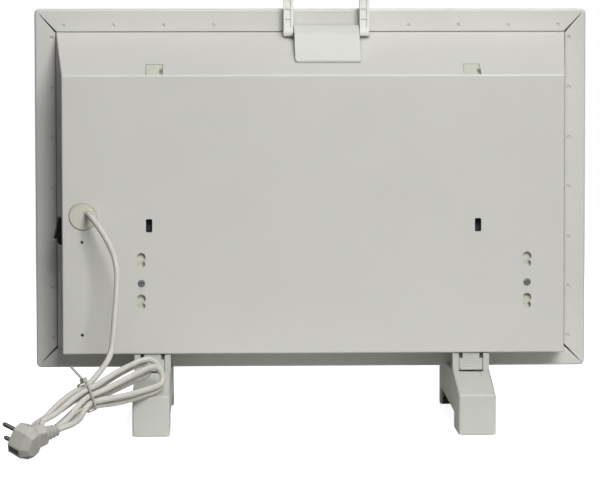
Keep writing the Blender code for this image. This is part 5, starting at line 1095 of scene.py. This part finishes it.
    def build(self, sheath: bpy.types.Material) -> None:
        """Args:
            sheath: The material of its sheath.
        """
        points = smooth_line(self.whole_line(), self.diameter / self.points_per_diameter)
        curve = bpy.data.curves.new("mains_lead", "CURVE")
        curve.dimensions = "3D"
        curve.bevel_depth = self.diameter / 2
        curve.bevel_resolution = self.rings
        curve.use_fill_caps = True
        spline = curve.splines.new("POLY")
        spline.points.add(len(points) - 1)
        for place, point in zip(spline.points, points):
            place.co = (*point, 1)
        curve.materials.append(sheath)
        lead = bpy.data.objects.new("mains_lead", curve)
        bpy.context.scene.collection.objects.link(lead)
        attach(lead, MAIN_BODY)
        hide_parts("cord_lead", "cord_hank")
        measured = sum((q - p).length for p, q in zip(points, points[1:]))
        LOG.info("mains lead %.3f m long, %d points", measured, len(points))


def smooth_line(route: list[Vector], step: float, parts: int = 12) -> list[Vector]:
    """Evenly spaced points on the smooth curve through a route.

    Args:
        route: The route's own points.
        step: The distance between the new points.
        parts: How many parts the curve between two of the route's points is measured in.

    Returns:
        The new points, with the route's two ends kept.
    """
    padded = [2 * route[0] - route[1], *route, 2 * route[-1] - route[-2]]
    fine = []
    for a, b, c, d in zip(padded, padded[1:], padded[2:], padded[3:]):
        # Knots spaced by the square root of distance keep the curve from looping at short steps.
        ta, tb, tc = (math.sqrt((q - p).length) for p, q in ((a, b), (b, c), (c, d)))
        leave = (c - b) / tb - (c - a) / (ta + tb) + (b - a) / ta
        arrive = (d - c) / tc - (d - b) / (tb + tc) + (c - b) / tb
        for i in range(parts):
            t = i / parts
            fine.append(
                b * (2 * t**3 - 3 * t**2 + 1)
                + leave * tb * (t**3 - 2 * t**2 + t)
                + c * (3 * t**2 - 2 * t**3)
                + arrive * tb * (t**3 - t**2)
            )
    fine.append(route[-1])
    lengths = [0.0]
    for p, q in zip(fine, fine[1:]):
        lengths.append(lengths[-1] + (q - p).length)
    count = max(2, round(lengths[-1] / step))
    points = []
    k = 0
    for i in range(count + 1):
        target = lengths[-1] * i / count
        while k < len(fine) - 2 and lengths[k + 1] < target:
            k += 1
        t = (target - lengths[k]) / (lengths[k + 1] - lengths[k])
        points.append(fine[k].lerp(fine[k + 1], t))
    return points


@dataclass(frozen=True)
class SoftLamp:
    """A square soft lamp.

    Attributes:
        name: What it is called.
        place: Where it stands, in metres.
        size: The length of its side, in metres.
        power: Its power in watts.
    """

    name: str
    place: tuple[float, float, float]
    size: float
    power: float

    def build(self, aim: tuple[float, float, float]) -> None:
        """Makes the lamp.

        Args:
            aim: What it points at.
        """
        data = bpy.data.lights.new(self.name, "AREA")
        data.shape = "SQUARE"
        data.size = self.size
        data.energy = self.power
        lamp = bpy.data.objects.new(self.name, data)
        lamp.matrix_world = facing(self.place, Vector(aim) - Vector(self.place))
        bpy.context.scene.collection.objects.link(lamp)
        LOG.info("%s at %s", self.name, self.place)


@dataclass
class Studio:
    """A white studio: floor, world and soft lamps.

    Attributes:
        floor_size: The floor's width and depth, in metres.
        floor_cells: Its faces along each side.
        floor_clear: Where the floor starts and ends to fade away, in metres from the middle.
        table_reach: Where the floor starts and ends to lose its bounced light, in metres.
        paper: The floor's colour to the camera, as sRGB hex, which its shadow falls on.
        paper_glow: What is added to that to make it white, where 1 is white.
        near_paper: The floor's colour to other light near the heater, as sRGB hex.
        far_paper: The same far from the heater.
        world_strength: How strongly the world lights the heater.
        dark_side: How much of that light is left on the heater's right.
        dark_span: Where it starts and ends to fall off, as the X of the direction it comes from.
        dim_front: How bright reflections find the room beyond the heater's front.
        dim_span: The Y of the direction where they find that room alone, and where it ends.
        lamps: The soft lamps: a key behind the heater, a weak one above and one for the front.
        aim: What the lamps point at.
    """

    floor_size: float = 6.0
    floor_cells: int = 4
    floor_clear: tuple[float, float] = (0.9, 2.4)
    table_reach: tuple[float, float] = (0.24, 0.60)
    paper: str = "#E4E4E2"
    paper_glow: float = 0.88
    near_paper: str = "#DEDEDC"
    far_paper: str = "#1E1E1D"
    world_strength: float = 0.24
    dark_side: float = 0.02
    dark_span: tuple[float, float] = (-0.5, 0.5)
    dim_front: float = 0.10
    dim_span: tuple[float, float] = (-0.9, 0.1)
    lamps: tuple[SoftLamp, ...] = (
        SoftLamp("key_lamp", (-0.70, 3.3, 2.05), 1.30, 109.5),
        SoftLamp("top_lamp", (-0.2, 0.7, 2.9), 1.8, 24.0),
        SoftLamp("front_lamp", (-0.9, -3.0, 1.5), 1.8, 50.0),
    )
    aim: tuple[float, float, float] = (0.0, 0.0, 0.22)

    def build(self) -> None:
        """Builds the floor, the world and the lamps."""
        bpy.context.scene.view_settings.view_transform = "Standard"
        self.build_world()
        self.build_floor()
        for lamp in self.lamps:
            lamp.build(self.aim)

    def build_world(self) -> None:
        """A world that is white to the camera and in reflections, and softer as a light."""
        world = bpy.data.worlds.new("white_studio")
        world.use_nodes = True
        tree = world.node_tree
        tree.nodes.clear()
        path = add_node(tree, "ShaderNodeLightPath").outputs
        glossy = path["Is Glossy Ray"]
        most = {"operation": "MAXIMUM"}
        seen = add_node(tree, "ShaderNodeMath", most, {0: path["Is Camera Ray"], 1: glossy})
        rays = {0: seen.outputs[0], 1: path["Is Transmission Ray"]}
        either = add_node(tree, "ShaderNodeMath", most, rays)
        sky = add_node(tree, "ShaderNodeTexCoord").outputs["Generated"]
        sides = add_node(tree, "ShaderNodeSeparateXYZ", Vector=sky)
        fall = add_node(
            tree,
            "ShaderNodeMapRange",
            SMOOTHSTEP,
            Value=sides.outputs["X"],
            From_Min=self.dark_span[0],
            From_Max=self.dark_span[1],
            To_Min=self.world_strength,
            To_Max=self.world_strength * self.dark_side,
        )
        light = add_node(
            tree, "ShaderNodeBackground", Color=WHITE, Strength=fall.outputs["Result"]
        )
        # Reflections find a dim room beyond the heater's front, so surfaces seen edge-on stay dark.
        beyond = add_node(
            tree,
            "ShaderNodeMapRange",
            SMOOTHSTEP,
            Value=sides.outputs["Y"],
            From_Min=self.dim_span[0],
            From_Max=self.dim_span[1],
            To_Min=1.0 - self.dim_front,
            To_Max=0.0,
        )
        both = {0: beyond.outputs["Result"], 1: glossy}
        dimmed = add_node(tree, "ShaderNodeMath", {"operation": "MULTIPLY"}, both)
        rest = {0: 1.0, 1: dimmed.outputs[0]}
        left_over = add_node(tree, "ShaderNodeMath", {"operation": "SUBTRACT"}, rest)
        white = add_node(tree, "ShaderNodeBackground", Color=WHITE, Strength=left_over.outputs[0])
        ends = {1: light.outputs[0], 2: white.outputs[0]}
        mix = add_node(tree, "ShaderNodeMixShader", None, ends, Fac=either.outputs[0])
        add_node(tree, "ShaderNodeOutputWorld", Surface=mix.outputs[0])
        bpy.context.scene.world = world
        LOG.info("world of strength %.2f", self.world_strength)

    def build_floor(self) -> None:
        """A pale floor that keeps the heater's shadow and is white to the camera elsewhere."""
        bm = bmesh.new()
        bmesh.ops.create_grid(
            bm, x_segments=self.floor_cells, y_segments=self.floor_cells, size=self.floor_size / 2
        )
        mesh = bpy.data.meshes.new("studio_floor")
        bm.to_mesh(mesh)
        bm.free()
        mesh.materials.append(self.floor_paper())
        floor = bpy.data.objects.new("studio_floor", mesh)
        bpy.context.scene.collection.objects.link(floor)
        LOG.info("floor %.1f m wide", self.floor_size)

    def floor_paper(self) -> bpy.types.Material:
        """Matt seamless paper, lit from within for the camera, that fades away far out.

        Returns:
            The floor's material.
        """
        material = bpy.data.materials.new("White seamless paper")
        material.use_nodes = True
        tree = material.node_tree
        tree.nodes.clear()
        paper = add_node(tree, "ShaderNodeBsdfDiffuse", Color=linear(self.paper))
        glow = add_node(tree, "ShaderNodeEmission", Color=WHITE, Strength=self.paper_glow)
        parts = {0: paper.outputs[0], 1: glow.outputs[0]}
        lift = add_node(tree, "ShaderNodeAddShader", None, parts)
        place = add_node(tree, "ShaderNodeTexCoord").outputs["Object"]
        reach = add_node(tree, "ShaderNodeVectorMath", {"operation": "LENGTH"}, {0: place})
        # Only the paper near the heater throws light back on it, as on a small table.
        table = add_node(
            tree,
            "ShaderNodeMapRange",
            SMOOTHSTEP,
            Value=reach.outputs["Value"],
            From_Min=self.table_reach[0],
            From_Max=self.table_reach[1],
        )
        tones = {MIX_FIRST: linear(self.near_paper), MIX_SECOND: linear(self.far_paper)}
        tone = add_node(tree, "ShaderNodeMix", COLOURS, tones, Factor=table.outputs["Result"])
        bounce = add_node(tree, "ShaderNodeBsdfDiffuse", Color=tone.outputs[MIX_RESULT])
        camera_ray = add_node(tree, "ShaderNodeLightPath").outputs["Is Camera Ray"]
        looks = {1: bounce.outputs[0], 2: lift.outputs[0]}
        mix = add_node(tree, "ShaderNodeMixShader", None, looks, Fac=camera_ray)
        fade = add_node(
            tree,
            "ShaderNodeMapRange",
            SMOOTHSTEP,
            Value=reach.outputs["Value"],
            From_Min=self.floor_clear[0],
            From_Max=self.floor_clear[1],
        )
        clear = add_node(tree, "ShaderNodeBsdfTransparent")
        near_far = {1: mix.outputs[0], 2: clear.outputs[0]}
        faded = add_node(tree, "ShaderNodeMixShader", None, near_far, Fac=fade.outputs["Result"])
        add_node(tree, "ShaderNodeOutputMaterial", Surface=faded.outputs[0])
        return material


def main() -> None:
    """Builds the camera, finishes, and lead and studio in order."""
    logging.basicConfig(level=logging.INFO, format="%(name)s: %(message)s")
    PhotoCamera().build()
    materials = Dressing().build()
    MainsLead().build(materials[PVC_SHEATH.name])
    Studio().build()


if __name__ == "__main__":
    main()
